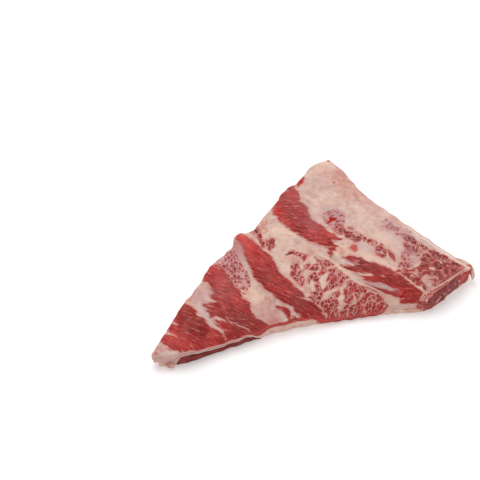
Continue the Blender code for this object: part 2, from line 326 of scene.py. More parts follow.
def seam(x, y, share):
    # the top of the fat, on which the rib side lies: thicker inside than at the edges
    offFront, offEnd, offSpine, _ = offSides(x, y)
    shows, soft = fatForm["edge"], fatForm["soft"]
    for start, stop, more in fatShows:
        shows = shows + more * between(x, (start - soft, start + soft, stop - soft, stop + soft))
    start, stop = strip["start"], strip["stop"]
    under = stripTop(x, share) * between(x, (start - 14, start, stop - 4, stop + 12))
    nearEnds = np.exp(-np.minimum(offEnd, offSpine) / 8)
    inside = fatForm["middle"] - (fatForm["middle"] - fatForm["edge"] - 0.6) * nearEnds
    atEdge = np.exp(-offFront / 9)
    lift = fatForm["tipLift"] * (1 - smoothStep(x, *fatForm["tip"]))
    return inside * (1 - atEdge) + shows * atEdge + under + lift + fatForm["rough"] * ripple(x, y, 30, 8)


# What lies on the rib side, drawn in the photograph's pixels.
# The muscles between the rib beds: the slope of their fibres in the photograph, how far those fibres fray out
# into the fat, and their outlines.
muscles = {
    "tip": dict(slope=0.45, fray=0.8, outline=[
        (184.5, 304), (192, 307), (196, 311), (197.5, 316), (203, 318), (206.4, 321.7), (211.2, 326.6),
        (217.5, 330), (222, 333.5), (224, 338), (226, 343), (217, 347), (204, 349.5), (190, 351),
        (181, 351.5), (170, 350), (163, 344), (158, 340), (163, 330), (169, 322), (170, 317), (174, 311)]),
    "second": dict(slope=0.42, fray=0.9, outline=[
        (208, 266.5), (217.6, 264), (222.5, 267.5), (226, 272.5), (229, 276.5), (231.5, 281), (235, 286.5),
        (239, 290.5), (241.5, 295), (243, 298.5), (247.5, 300.5), (249.5, 304), (250.5, 309),
        (252.5, 313.5), (256.5, 318.5), (262, 322), (269, 325), (262, 331), (253, 335.5), (240, 340),
        (227, 345.5), (225.5, 338), (223, 332), (218, 325.5), (214, 321.5), (209.5, 316), (206, 309.5),
        (203, 304.5), (209, 303), (215.5, 302.5), (212, 299), (208.3, 295.3), (213.8, 294.2), (210.5, 288),
        (207, 282.5), (203, 279)]),
    "third": dict(slope=0.55, fray=0.7, outline=[
        (235, 238), (238, 233.5), (242, 233.5), (247.4, 236.3), (251.3, 239.8), (256.3, 243.5),
        (261.5, 248), (266, 252), (270.3, 255.7), (274.2, 261.5), (277.4, 268.5), (281.9, 274.8),
        (287, 279.3), (293.3, 284.4), (297.8, 288.2), (303, 292.5), (305.5, 297.5), (297.5, 296.8),
        (304, 299), (311.2, 301), (317.4, 305.3), (321.2, 309.8), (325.7, 315.5), (326.3, 320), (318, 323),
        (304.6, 324.3), (296, 323), (290.5, 322), (291.5, 317.8), (296, 316.5), (303.3, 316.8),
        (297.5, 313.8), (294.4, 311), (293.5, 306.5), (289, 305.3), (283, 302.3), (276.1, 298.4),
        (272, 294), (264.8, 289.5), (260.8, 284.4), (255.7, 279.3), (252.5, 273), (248.7, 264.6),
        (246.1, 258.9), (243.6, 250.6), (240.4, 244.2)]),
    "thirdSmall": dict(slope=0.5, fray=0.6, outline=[
        (274.5, 306.5), (279, 305.3), (284, 306), (287, 309), (290, 311.5), (291, 315), (290.5, 318.5),
        (288, 318), (285.5, 314), (281, 310)]),
    "fourth": dict(slope=0.17, fray=0.9, outline=[
        (293, 184), (298, 192), (300.6, 198.3), (299.5, 200.8), (303, 204), (306.8, 207.6), (309.3, 214),
        (312, 219.5), (316, 222.5), (321, 224), (324.6, 228), (329.1, 231.2), (335.5, 235.2),
        (341.2, 239.5), (331.5, 240.3), (334, 244), (338, 245.8), (335, 249.3), (331.8, 255),
        (330.5, 258.5), (329, 252.5), (327, 248.4), (322, 245.6), (315, 243.3), (307.4, 239.5),
        (299.1, 235.2), (292.7, 231.2), (286.4, 226.8), (280.6, 222.3), (276.1, 215.9), (269, 208),
        (276, 200), (281, 193), (288, 186)]),
    "fifth": dict(slope=0.3, fray=0.8, outline=[
        (341.5, 257.5), (350.6, 255.4), (356.4, 256.5), (363.4, 259.1), (372.3, 262.7), (380, 264.7),
        (385.7, 266.1), (390.8, 269.3), (394.6, 271.9), (399.7, 275), (405.5, 279.5), (411.2, 284),
        (418, 289), (424, 293.8), (420.5, 300), (417, 304.5), (405, 307), (397.5, 306), (401, 300.5),
        (404, 295.5), (398.5, 296.5), (392.3, 295.8), (385.3, 294.9), (378.9, 292.6), (370.6, 288.9),
        (363.5, 285), (372, 285.2), (381, 288.5), (390, 291), (398.6, 290.6), (392.3, 287.3),
        (382.7, 283.6), (373.8, 282), (365.5, 281), (359.5, 276.6), (366, 275.8), (372.3, 275.2),
        (371.5, 273), (364.6, 273), (355.7, 273), (347.4, 269.6), (340.3, 265.4), (350.6, 266.3),
        (359.5, 264.4), (349.3, 261.2)]),
    "sliver": dict(slope=-1.0, fray=0.3, outline=[
        (296, 186), (299, 181), (303.5, 177), (305, 178.4), (302, 183), (299, 187)]),
}
# Bunches of lean with a fine net of fat in each, as (slope of the net, outlines): in the broad bed right of
# the third muscle, beside that muscle's upper end, and in the bed above the fifth muscle.
bunches = [
    (-1.3, [
        [(288.7, 252), (292.8, 251), (298, 252.6), (303, 254), (308, 255.8), (307, 259.4), (304, 262),
        (301.6, 259.6), (298, 256.6), (293, 255.2)],
        [(290.8, 265.8), (294.5, 264), (298, 266), (299, 269), (304.4, 270), (303, 273), (300, 273.6),
        (304.6, 280.6), (305, 284), (301.6, 286.6), (297.6, 282.6), (294, 279), (290.6, 276.4),
        (291.2, 271.4), (295.4, 270), (290.8, 268.8)],
        [(304.2, 266.8), (308.6, 263.4), (309.8, 265.2), (306, 268.6)],
        [(312, 267), (317.6, 263), (319, 265.4), (318.8, 269.4), (314, 270.4), (308.6, 269.6),
        (309.6, 268.2)],
        [(308.4, 278), (311.8, 273.6), (315.4, 272.6), (319, 278.4), (318, 282), (315, 282), (312.6, 278.6),
        (309.6, 279.6), (309, 283), (306.8, 281.6)],
        [(314, 257), (318.7, 260.4), (323.7, 260.4), (329, 261.4), (332.4, 264), (336.6, 268.2),
        (335.4, 271.4), (332, 275.4), (328.6, 280.6), (326.6, 282), (328.4, 276.6), (331, 272.4),
        (328.6, 270.4), (324, 273.6), (319.6, 277), (318.6, 274), (321.8, 270), (322.6, 266.4),
        (318.4, 262)],
        [(332, 276.7), (335.3, 274.6), (337.4, 280), (335.8, 283.3), (337.4, 286), (333.6, 288),
        (328.6, 289.6), (324, 292), (323.4, 290.4), (328.4, 285), (331, 280.8)],
        [(337.6, 270.4), (340.6, 271.4), (343, 274.8), (348, 275.6), (349.8, 277.4), (346.2, 278.6),
        (343.8, 282), (340.4, 286.2), (338.4, 284.4), (339.4, 280), (337.2, 275.8)],
        [(315, 284), (319.6, 283), (320.6, 288.3), (323, 293.3), (321.4, 297), (318.8, 303.8), (315, 302.8),
        (311.6, 299.4), (308.4, 297.6), (311.2, 295.6), (315, 296.4), (311, 293.3), (315, 291.5),
        (316.2, 288.3)],
        [(327.6, 298.4), (331, 295), (335.3, 292.4), (338.8, 290), (339.8, 293.3), (338, 296),
        (333.8, 298.8), (328.6, 300.4)],
        [(321.8, 301.6), (327, 300), (332, 300.6), (337, 299.6), (338.2, 303.3), (336.6, 307.5),
        (339, 311.7), (337, 318.4), (328.4, 319.4), (328.4, 314.4), (325, 312), (322.4, 308.5), (321, 305)],
        [(347.6, 282.4), (352, 281.2), (357.4, 283), (356.6, 287.6), (353, 292), (352.4, 295),
        (353.2, 298.4), (350.6, 303), (347, 303.8), (344.2, 300.2), (345, 296.7), (343.4, 294.2),
        (343.4, 290.6), (347.4, 288)],
        [(355, 291), (357.6, 289.4), (360.6, 291), (360.8, 295), (358, 297), (354.8, 295.2), (355.4, 293.8),
        (358, 294.8), (359, 292.4), (357, 291.6)],
        [(358.6, 285.6), (363.8, 286.4), (366.6, 290), (365.6, 292.8), (361, 291.8), (359.2, 288.4)],
        [(365.2, 294), (372, 292.8), (375, 295.8), (373, 299.4), (366.4, 302), (362, 303.8), (356.6, 302),
        (357.4, 299.2), (362.6, 296.6)],
        [(347.8, 304.2), (349, 306.8), (346.4, 312), (342.2, 316.6), (339.4, 318.4), (340, 313.6),
        (344.3, 308.4)],
        [(350.2, 306.8), (354.4, 304.8), (359.6, 303), (363.8, 305.6), (363.2, 311), (357.2, 313.8),
        (351.4, 315), (347, 318.4), (349.2, 311.8)],
        [(366, 304.2), (370.2, 302.2), (376.4, 302.2), (378.2, 305.8), (376.4, 309.6), (369.6, 311.4),
        (365, 312)],
        [(376.2, 294.6), (380.6, 296.4), (385.6, 301.4), (390, 306.6), (385.6, 309.6), (379.4, 311.4),
        (378.2, 306.7), (377.2, 302.3), (374.6, 298.4)],
        [(339, 318.6), (346, 318.4), (352, 315.6), (360, 313.8), (370, 312), (381, 311), (389, 308.6),
        (386, 313), (370, 318), (350, 322), (338, 323)],
    ]),
    (1.7, [
        [(249.5, 231), (254, 228.5), (257, 227.3), (259.5, 232), (262, 238), (264.5, 243), (264.8, 247),
        (262.5, 246), (259, 240), (255.5, 235), (252.5, 233)],
        [(265, 242), (266.6, 239.8), (269, 241.6), (270.4, 238.6), (274, 239.2), (273.6, 243), (275, 245.6),
        (272.4, 248.6), (271, 252), (268.6, 250.4), (269, 246.6), (266.4, 245)],
    ]),
    (0.5, [
        [(362.8, 238.8), (365.4, 238), (366.6, 239.8), (364.4, 241)],
        [(367.4, 241.2), (370.4, 239.6), (371.6, 241.6), (369, 243.4)],
        [(371.8, 243), (374.8, 241), (376.4, 242.8), (374, 245.4)],
        [(332.6, 228.6), (337.2, 226.4), (344, 227.6), (345.2, 232.4), (341.6, 234.2), (336, 232.4)],
        [(345.6, 231.8), (349.4, 230.4), (353, 232), (358.4, 234.2), (362.6, 236.6), (359.6, 241.4),
        (355, 242), (350.4, 238.6), (345, 236.2)],
        [(347.2, 226.8), (351.8, 227), (352.8, 229), (348.6, 229)],
        [(375.8, 247.4), (379, 244.6), (383, 245.4), (385.8, 249), (386.6, 253.6), (384.4, 257.6),
        (380.6, 256.4), (377, 253.6), (375.4, 250.4)],
        [(387.4, 249.6), (391, 251.4), (394, 256), (395, 261), (391.6, 259), (389, 255)],
        [(398.4, 263.2), (403, 262), (409.6, 263.4), (411, 266.4), (404, 267.4), (399, 266.4)],
        [(403.6, 243), (407, 242.6), (409.6, 246), (408.6, 250), (404.6, 248.4)],
        [(410.4, 245), (415, 244.6), (418.6, 248.6), (416.6, 253.6), (412.4, 251.4)],
        [(400.6, 233.8), (409.4, 235), (418.6, 242.6), (427, 248), (434, 252.4), (424, 250), (414, 243.6),
        (405, 240)],
    ]),
]
# Marbled beds: the size of the lumps of meat and of the bunches (chunk) that they lie in, the width of the
# fat between bunches (vein), how much of the bed is lean (full), how plain the fine net of fat is, how far
# the lumps are stretched and the slope in the photograph that they are stretched along.
marbled = [
    dict(size=3.6, chunk=8, vein=0.55, full=2.6, net=1.0, stretch=1.1, slope=0.9, outline=[
        (219, 256), (226, 249), (232, 251), (238, 256), (242, 263), (246, 271), (250, 280), (250, 287),
        (247, 291), (241, 290), (236, 285), (231, 279), (227, 272), (222, 266), (216, 263)]),
    dict(size=3.4, chunk=5, vein=1.0, full=0.8, net=1.0, stretch=1.2, slope=0.4, outline=[
        (323, 214), (331, 209.5), (339, 211), (343.5, 216), (345, 222), (344, 226), (338, 226.5),
        (331, 228), (325, 222)]),
    dict(size=3.4, chunk=6, vein=1.3, full=0.4, net=0.8, stretch=1.8, slope=0.6, outline=[
        (382.6, 222), (390.6, 223.6), (398, 227.6), (411, 232.6), (404, 234.6), (396, 233), (388, 230.4),
        (382.6, 226.2)]),
    dict(size=2.8, chunk=3.6, vein=1.0, full=0.5, net=0.5, stretch=1.2, slope=0.8, outline=[
        (408, 240), (420, 246), (428, 251), (423, 257), (418, 264), (411, 267), (403, 262), (400, 254),
        (405, 250)]),
    dict(size=3.2, chunk=6, vein=0.4, full=2.2, net=1.0, stretch=1.2, slope=-1.3, outline=[
        (411.5, 310), (416.5, 305), (421, 300), (424.4, 294.5), (432, 289), (440, 285), (448, 281),
        (446, 292), (430, 306), (420, 313)]),
    dict(size=2.8, chunk=3.6, vein=1.05, full=0.4, net=0.5, stretch=1.2, slope=0.5, outline=[
        (420, 275), (428, 274), (434, 275), (441, 280), (446, 283.5), (438, 288), (429, 291), (425, 283)]),
    dict(size=3.4, chunk=9, vein=0.2, full=4.4, net=0.5, stretch=1.4, slope=0.45, outline=[
        (394.5, 271), (405.8, 268), (412.9, 269), (416.7, 266), (420.5, 262), (423.4, 253.3), (431, 251),
        (437.3, 251.4), (445.8, 256.6), (455.5, 261.4), (463, 265.7), (464.5, 269.2), (459.4, 275),
        (449.7, 280), (444.8, 283), (440, 280.3), (432.9, 275.6), (427.5, 274.5), (422.1, 276),
        (421, 279.5), (425.4, 282.4), (427, 290.5), (420, 286), (412, 281), (404, 275.5)]),
]
veins = [  # of fat, as (x, y, width) along each
    [(212, 319.6, 3), (219, 318.6, 2.2), (226, 321, 1.6), (238, 325.5, 0.6), (250, 328.5, 0)],
    [(163, 332, 4.4), (169, 334, 3.6), (176.5, 337.2, 0.8)],
    [(168, 320.5, 4), (173, 322.5, 3), (178, 325, 0.6)],
    [(376, 286.5, 1.4), (386, 288, 1.8), (397, 290, 1)],
]
pads = [  # solid fat inside the marbling, as ovals
    (335, 242.5, 4.6, 1.3, 8), (414, 257, 5.5, 3.4, 20), (432, 268.5, 4, 1.6, 20), (440, 262, 2.5, 1, 40),
]
tones = [  # (x, y, how bright the lean is there)
    (243, 238, 1.0), (250, 246, 0.95), (262, 258, 0.75), (262, 272, 0.45), (275, 283, 0.45),
    (288, 288, 0.6), (300, 300, 0.35), (312, 315, 0.45), (300, 320, 0.4), (215, 269, 0.8), (218, 280, 0.7),
    (228, 290, 0.55), (238, 298, 0.85), (230, 305, 0.45), (240, 318, 0.2), (222, 330, 0.6), (245, 330, 0.4),
    (184, 310, 0.4), (185, 322, 0.15), (200, 330, 0.15), (172, 326, 0.75), (185, 344, 0.75),
    (168, 340, 0.7), (210, 343, 0.75), (292, 195, 0.75), (284, 205, 0.5), (290, 215, 0.35), (277, 212, 0.8),
    (288, 224, 0.8), (305, 213, 0.55), (300, 228, 0.4), (312, 238, 0.8), (326, 243, 0.5), (335, 236, 0.8),
    (318, 228, 0.75), (350, 258, 0.3), (365, 263, -0.1), (372, 268, 0.2), (390, 276, 0.2), (385, 270, 0.5),
    (405, 284, 0.35), (415, 290, 0.45), (395, 272, 0.75), (365, 277, 0.8), (380, 292, 0.4), (402, 294, 1.0),
    (410, 300, 0.5), (420, 296, 0.55), (226, 262, 0.35), (240, 280, 0.35), (300, 265, 0.3), (320, 300, 0.2),
    (350, 300, 0.55), (335, 312, 0.55), (375, 300, 0.7), (345, 233, -0.1), (360, 238, 0.0),
    (385, 252, 0.45), (405, 265, 0.3), (395, 230, 0.25), (415, 245, 0.0), (445, 264, 0.0),
    (410, 276, -0.15), (440, 272, -0.1), (455, 267, -0.1), (425, 262, 0.1), (256, 234, 0.15),
    (269, 245, 0.15),
]
membranes = [  # thin grey silverskin, as soft ovals with their strength
    (238, 250, 9, 7, 60, 0.9), (200, 293, 11, 7, 120, 0.5), (203, 304, 12, 5, 60, 0.75),
    (212, 292, 5, 3, 30, 0.9), (213, 301, 4, 2, 10, 0.8), (262, 310, 10, 9, 40, 0.4),
    (284, 200, 6, 4, 60, 0.25), (309, 212, 10, 4, 60, 0.35), (333, 216, 13, 10, 20, 1.0),
    (360, 246, 12, 5, 30, 0.55), (392, 226, 11, 4, 40, 1.0), (404, 231, 9, 3, 35, 0.9),
    (410, 256, 9, 7, 20, 0.7), (430, 282, 9, 6, -25, 0.2), (240, 255, 6, 12, -30, 0.5),
    (206, 316, 3, 14, -38, 1.0), (197, 300, 4, 9, -20, 0.9), (270, 315, 12, 9, 20, 0.5),
    (352, 263, 6, 2.2, 10, 0.6), (383, 288, 14, 3, 15, 0.9), (394, 230, 16, 6, 30, 0.6),
    (414, 256, 10, 6, 30, 0.4), (430, 243, 14, 4, 35, 0.4), (433, 281, 13, 6, -25, 0.2),
    (403, 246, 8, 5, 30, 0.3), (318, 182, 8, 4, 30, 0.5), (306, 188, 8, 3, 130, 0.4),
    (330, 258, 6, 5, 0, 0.4), (158, 350, 6, 5, 0, 0.4), (262, 330, 6, 3, 0, 0.3), (375, 249, 7, 3, 40, 0.4),
    (395, 292, 5, 2, 10, 0.6), (224, 288, 9, 14, -30, 0.3), (240, 322, 12, 8, 0, 0.25),
    (293, 196, 8, 8, 0, 0.4), (300, 212, 12, 14, -40, 0.2), (300, 302, 8, 10, -40, 0.25),
    (313, 226, 9, 5, 45, 0.55), (235, 270, 9, 18, -30, 0.5),
]
creams = [  # thick cream fat, as soft ovals with their strength
    (284, 233.3, 12, 4, 12, 1.0), (276, 229, 7, 5, 40, 0.3), (252, 295, 9, 7, 50, 0.6),
    (262, 300, 10, 6, 40, 0.6), (322, 163, 12, 7, 20, 0.6), (334, 200, 14, 5, -10, 0.3),
    (370, 232, 22, 11, 40, 0.2), (385, 245, 14, 8, 40, 0.2), (346, 270, 12, 3, 35, 0.8),
    (362, 252, 10, 3, 30, 0.5), (380, 262, 16, 3, 30, 0.5), (343, 252, 8, 6, 20, 0.5),
    (390, 300, 8, 5, 0, 0.8), (292, 268, 8, 8, 60, 0.3), (440, 250, 14, 2.4, 35, 0.6),
    (455, 262, 8, 2, 35, 0.8), (216, 321, 6, 2, 30, 0.7), (170, 334, 6, 3, 20, 0.6),
    (260, 245, 5, 5, 0, 0.3), (320, 285, 10, 10, 0, 0.25), (331, 296, 10, 5, 0, 0.3),
    (410, 272, 5, 2, 0, 0.3), (290, 250, 16, 6, 20, 0.3),
]
flushes = [  # fat stained pink, as soft ovals with their strength
    (336, 178, 14, 9, 30, 0.6), (352, 190, 14, 10, 40, 0.6), (370, 205, 16, 7, 35, 0.5),
    (345, 172, 10, 6, 40, 0.5), (268, 313, 14, 8, 30, 0.6), (276, 322, 8, 4, 10, 0.8),
    (312, 250, 8, 4, 10, 0.5), (294, 260, 9, 4, 20, 0.8), (325, 240, 8, 4, 0, 0.3),
    (262, 226, 6, 6, 0, 0.5), (188, 298, 4, 6, 30, 1.0), (232, 246, 4, 6, 60, 0.7),
    (156, 350, 4, 5, 50, 0.7), (162, 349, 4, 3, 0, 0.6), (389, 300, 7, 4, 0, 0.6),
    (353, 248, 5, 4, 30, 0.8), (341, 251, 5, 4, 60, 0.6), (444, 277, 9, 5, -25, 0.2),
    (460, 268, 6, 4, 0, 0.6), (400, 222, 14, 3, 30, 0.5), (430, 238, 14, 3, 35, 0.5),
    (205, 287, 5, 3, 40, 0.3), (280, 298, 8, 2, 40, 0.4), (307, 290, 7, 3, 30, 0.4),
    (247, 292, 5, 3, 50, 0.4), (238, 250, 8, 6, 60, 0.8), (200, 293, 9, 6, 120, 0.35),
    (395, 309, 12, 3, -8, 0.5), (380, 256, 10, 3, 30, 0.3),
]
bloods = [  # bright blood, as outlines
    [(329.6, 216.1), (332, 217.3), (334, 217), (336.8, 217.6), (337, 219), (335.5, 221), (332.5, 221),
    (330.2, 222.5), (327.5, 224), (325.6, 223.8), (328.6, 220.6)],
    [(384.2, 219), (387, 219.2), (388, 220.6), (386.4, 221.2)],
    [(333, 182.2), (335.6, 181.8), (335, 183), (332.8, 183.4)],
    [(242.5, 291.8), (245.8, 294.5), (245.2, 295.6), (242.4, 293.4)],
    [(380.6, 242.6), (383.4, 244.2), (383, 245.6), (380.8, 244.6)],
    [(399, 297), (403, 294), (406, 290.5), (406.8, 292.5), (404, 297), (401, 299.5)],
    [(324.6, 161), (328, 158.2), (331.6, 160.4), (329.4, 162.4)],
]
ovals = [  # cut vessels and glands: (x, y, half length, half width, turn, height in mm, flush)
    (267.8, 299.8, 3.4, 4.6, -20, 0.9, 0.8), (264, 230.5, 2.6, 2.2, 0, 0.3, 0.2),
    (264, 223, 2.8, 1.8, -40, 0.3, 0.2), (341, 251.6, 3.8, 4.8, -20, 1.5, 0.95),
    (354.3, 248.2, 4.6, 3.6, 45, 0.8, 1.9), (284, 233.4, 11, 3.4, 12, 1.6, 0.0),
    (294, 259.6, 9, 3.6, 22, 1.9, 0.5), (389.5, 300.5, 5.6, 3.4, 5, 1.0, 0.6),
    (155.4, 353, 2.8, 1.4, -60, 0.1, 1.5), (162, 350.4, 2.4, 1.1, -45, 0.1, 1.4),
]
pits = [  # (x, y, half length, half width, turn, depth in mm); the deeper ones are darkened as painted shade
    (288.8, 253.9, 2.8, 1.1, -8, 3.4), (286, 254.5, 2, 1, 0, 1.2), (283.4, 267, 1.2, 3.6, -25, 1.0),
    (335.5, 262, 5, 1.2, 20, 0.8), (247, 272, 1.2, 6, -28, 0.7), (330, 231, 6, 1.0, 35, 0.8),
    (372, 262, 9, 1, 18, 0.6),
]
rings = [  # red rims of the cut vessels: (x, y, half length, half width, turn, width)
    (264, 230.5, 2.7, 2.3, 0, 1.1), (264, 223.2, 3.0, 1.7, -45, 1.1), (267.8, 299.8, 3.2, 4.3, -20, 0.7),
]
paleRings = [  # pale rims painted as highlights, drawn the same way
    (284, 233.4, 11.5, 3.8, 12, 1.1), (341, 251.6, 4.6, 5.6, -20, 0.9), (354.3, 248.2, 5.8, 4.8, 45, 0.8),
]
paleLines = [  # painted highlights along the edges of folds and silverskin, as (x, y, width) along each
    [(286, 256, 0.5), (291, 255, 1.2), (298, 257.4, 1.2), (302.4, 261.4, 0.8)],
    [(199, 297, 0.3), (198.6, 306, 1.2), (204, 315, 1.2), (212, 324, 1), (221, 332, 0.5)],
    [(327, 268, 0.3), (336, 266.4, 1), (345, 273, 1.2), (356, 281.5, 1.2), (372, 288, 0.8), (386, 296, 0.5)],
    [(305, 245, 0.3), (316, 252, 0.8), (330, 260, 0.8), (338, 266, 0.4)],
    [(413, 309.5, 0.2), (418, 302.5, 0.4), (423.5, 294.5, 0.7), (433, 289.5, 0.5), (445, 282.4, 0.7),
    (456, 275, 0.1), (465.5, 268, 0.3)],
]
flecks = [  # white flecks on the end cut: (x, y, half length, half width, turn)
    (461, 273, 1.4, 0.8, 60), (459, 281, 1, 1, 0), (459.8, 285.5, 2.2, 0.7, -50), (455.4, 284, 0.9, 0.7, 0),
    (444.5, 294, 0.9, 1.3, 0), (440.3, 296.8, 0.9, 0.7, 0), (437.5, 301, 4.2, 0.6, -48),
    (422.2, 308.6, 1, 1.6, 20), (427, 300, 0.8, 4, 8), (433, 293, 0.7, 2, 20), (449, 290, 0.6, 1.4, 30),
]
print("drawn")

# The fields that say what tissue lies where, each a number at every point. Cream above 1 stands for a painted
# highlight, and the tone is also raised or lowered for painted light and shade.
tissue = ("lean", "fray", "net", "tone", "membrane", "cream", "flush", "blood")
upright = (1, 1, 1.6)  # lumps on the cut sides are flatter than they are long


def tissueOf(like, **given):
    # all fields at the points of like: what is given, and nothing of the others
    return {key: given.get(key, 0) + 0 * like for key in tissue}


def axes(points):
    # the coordinates apart
    return np.moveaxis(points, -1, 0)


def turned(x, y, slope):
    # coordinates along and across a slope in the photograph, where y runs down
    size = np.hypot(1, slope)
    return (x + slope * y) / size, (y - slope * x) / size


def nearMean(px, py, points):
    # a smooth mean of (x, y, value) points, mostly of the near ones
    weight, total = 0, 0
    for cx, cy, value in points:
        near = 1 / ((px - cx) ** 2 + (py - cy) ** 2 + 6) ** 1.6
        weight, total = weight + near, total + near * value
    return total / weight


def spots(px, py, ragged, drawn):
    # ovals with a strength each, added up, with ragged edges
    total = 0
    for spot in drawn:
        total = total + spot[5] * np.clip(1.6 * inSpot(px, py, spot) * (1 + 0.7 * ragged), 0, 1)
    return np.clip(total, 0, 1)


def lay(at, mine, **new):
    # new values for the points that are mine
    for key, value in new.items():
        at[key] = np.where(mine, value, at[key])


def layMuscles(px, py):
    # how deep in the lean each point lies, negative in fat, with its fray and its fibres' coordinates
    at = dict(lean=np.full(px.shape, -60.0), fray=0.3 + 0 * px, along=px, across=py, net=0 * px)
    for muscle in muscles.values():
        inside = insideBy(px, py, muscle["outline"])
        along, across = turned(px, py, muscle["slope"])
        lay(at, inside > at["lean"], lean=inside, fray=muscle["fray"], along=along, across=across)
    at["lean"] = np.maximum(at["lean"], -30)
    return at


bunchLook = dict(grow=0.45, fray=0.35, net=0.8, scale=1.2, stretch=1.4, tone=0.2)
lumpLook = dict(fray=0.4, tone=0.25, cell=4)  # the net's cells are this wide, in the fibres' coordinates


def layMarbling(at, px, py, rough, fine, bend):
    # lumps of lean in the beds, and how marbled each point is
    free = at["lean"] < 0.2  # where no muscle lies
    mottle = 0 * px
    shaken = px + 1.1 * fine, py + 1.1 * rough
    for number, bed in enumerate(marbled):
        inside = insideBy(px, py, bed["outline"]) + 1.8 * rough
        a, b = turned(*shaken, bed["slope"])
        a = a / bed["stretch"]
        border, value = cells(a, b, bed["chunk"], 20 + number)
        lump = np.minimum(inside, border - bed["vein"] * (0.45 + 0.9 * bend + 0.5 * rough))
        lump = np.minimum(lump, bed["full"] + 2.6 * fine)
        cell = lumpLook["cell"]
        lay(
            at, (inside > -1) & free, along=a * cell / bed["size"], across=b * cell / bed["size"],
            fray=lumpLook["fray"], net=bed["net"], tone=at["tone"] + lumpLook["tone"] * (value - 0.5),
            lean=np.maximum(at["lean"], lump),
        )
        mottle = np.maximum(mottle, smoothStep(inside, -1, 2))
    for slope, outlines in bunches:
        own = [insideBy(px + 0.5 * fine, py + 0.5 * rough, outline) for outline in outlines]
        inside = np.max(own, axis=0) + bunchLook["grow"]
        a, b = turned(*shaken, slope)
        lay(
            at, (inside > -1.2) & free, along=a * bunchLook["scale"] / bunchLook["stretch"],
            across=b * bunchLook["scale"], fray=bunchLook["fray"], net=bunchLook["net"],
            tone=at["tone"] + bunchLook["tone"] * fine, lean=np.maximum(at["lean"], inside),
        )
        mottle = np.maximum(mottle, smoothStep(inside, -1.2, 1.2))
    return mottle


backFold = dict(off=6.5, width=2.4, height=0.9, start=(78, 92), clearOfEnd=(2, 8))


def layFolds(at, x, y, px, py, rough, fine):
    # cut vessels, glands, rings, folds and holes, over what is there already, with painted highlights on pale
    # rims, lines and the fold, and painted shade in the holes
    for oval in ovals:
        tall, red = oval[5:]
        there = inSpot(px + 0.8 * fine, py + 0.8 * rough, oval)
        at["height"] = at["height"] + tall * there
        at["lean"] = np.minimum(at["lean"], 1.5 - 6 * there)
        at["cream"] = np.maximum(at["cream"], 0.8 * there * (1 - red))
        at["flush"] = np.maximum(at["flush"], red * there)
    for ring in rings:
        at["flush"] = np.maximum(at["flush"], 1.25 * smoothStep(onRing(px, py, ring), -0.4, 0.4))
    # the pale rims and lines below, and the fold further on, are painted highlights: cream above 1
    for ring in paleRings:
        at["cream"] = np.maximum(at["cream"], 1.32 * smoothStep(onRing(px, py, ring), -0.9, 0.5))
    for line in paleLines:
        off = onLine(px, py, line)
        at["cream"] = np.maximum(at["cream"], 1.25 * smoothStep(off, -1.2, 0.5))
        at["lean"] = np.minimum(at["lean"], 1.5 - 3 * smoothStep(off, -0.9, 0.2))
        at["height"] = at["height"] + 0.3 * smoothStep(off, -1.2, 0.6)
    _, offEnd, _, offBack = offSides(x, y)
    # a fold runs along the back rim, with a painted highlight along it
    fold = bump(offBack, backFold["off"] + rough, backFold["width"])
    fold = fold * smoothStep(x, *backFold["start"]) * smoothStep(offEnd, *backFold["clearOfEnd"])
    at["height"] = at["height"] + backFold["height"] * fold
    at["lean"] = np.minimum(at["lean"], 2 - 5 * smoothStep(fold, 0.2, 0.7))
    at["cream"] = np.maximum(at["cream"], 1.3 * smoothStep(fold, 0.3, 0.9))
    # painted shade in the deeper holes: lean there, darker and without its net
    pitShade = 0 * px
    for pit in pits:
        there, deep = inSpot(px, py, pit), pit[5]
        pitShade = np.maximum(pitShade, there * smoothStep(deep, 1, 3))
        at["height"] = at["height"] - deep * there
        at["lean"] = np.maximum(at["lean"], 6 * pitShade - 3)
        at["tone"], at["net"] = at["tone"] - 1.5 * pitShade, at["net"] * (1 - pitShade)


ribRelief = dict(muscle=0.8, marbling=0.3, fibres=0.2, fat=0.35, grit=0.18)  # heights in mm
warp = dict(by=0.55, size=4)  # what is drawn is shifted this far, unevenly


def ribTissue(x, y, z):
    # the tissue on the rib side, with the fibres' own coordinates and the relief in millimetres
    px, py = inPhoto(x, y, z)
    px = px + warp["by"] * flatLumps(x, y, warp["size"], 11)
    py = py + warp["by"] * flatLumps(x, y, warp["size"], 12)
    rough = flatLumps(x, y, 3.4, 13)
    fine, bend = flatLumps(px, py, 3.1, 19), flatLumps(px, py, 22, 18)
    at = layMuscles(px, py)
    band = smoothStep(at["lean"], -0.8, 1.4)
    at["tone"] = nearMean(px, py, tones) + 0.1 * flatLumps(x, y, 5, 14)
    at["across"] = at["across"] + 1.6 * bend
    mottle = layMarbling(at, px, py, rough, fine, bend)
    for vein in veins:
        at["lean"] = np.minimum(at["lean"], -onLine(px, py, vein) - 0.15 * rough)
    for pad in pads:
        at["lean"] = np.minimum(at["lean"], 3 - 5 * inSpot(px + 1.2 * fine, py + 1.2 * rough, pad))
    at["height"] = (
        ribRelief["muscle"] * band + ribRelief["marbling"] * mottle * smoothStep(at["lean"], -0.4, 0.8)
        + ribRelief["fibres"] * band * flatLumps(at["along"] / 9, at["across"] / 2.3, 1, 15)
        + ribRelief["fat"] * (1 - band) * flatLumps(x, y, 6, 16)
        + ribRelief["grit"] * flatLumps(x, y, 2.6, 17)
    )
    at["cream"], at["flush"] = spots(px, py, rough, creams), spots(px, py, rough, flushes)
    layFolds(at, x, y, px, py, rough, fine)
    at["tone"] = np.clip(at["tone"], -0.9, 1.2)
    at["membrane"] = spots(px, py, rough, membranes)
    at["blood"] = smoothStep(np.max([insideBy(px, py, spill) for spill in bloods], axis=0), -0.5, 0.5)
    grain = np.stack([at["along"], at["across"], 0 * x], axis=-1)
    return {key: at[key] for key in tissue}, grain, at["height"]


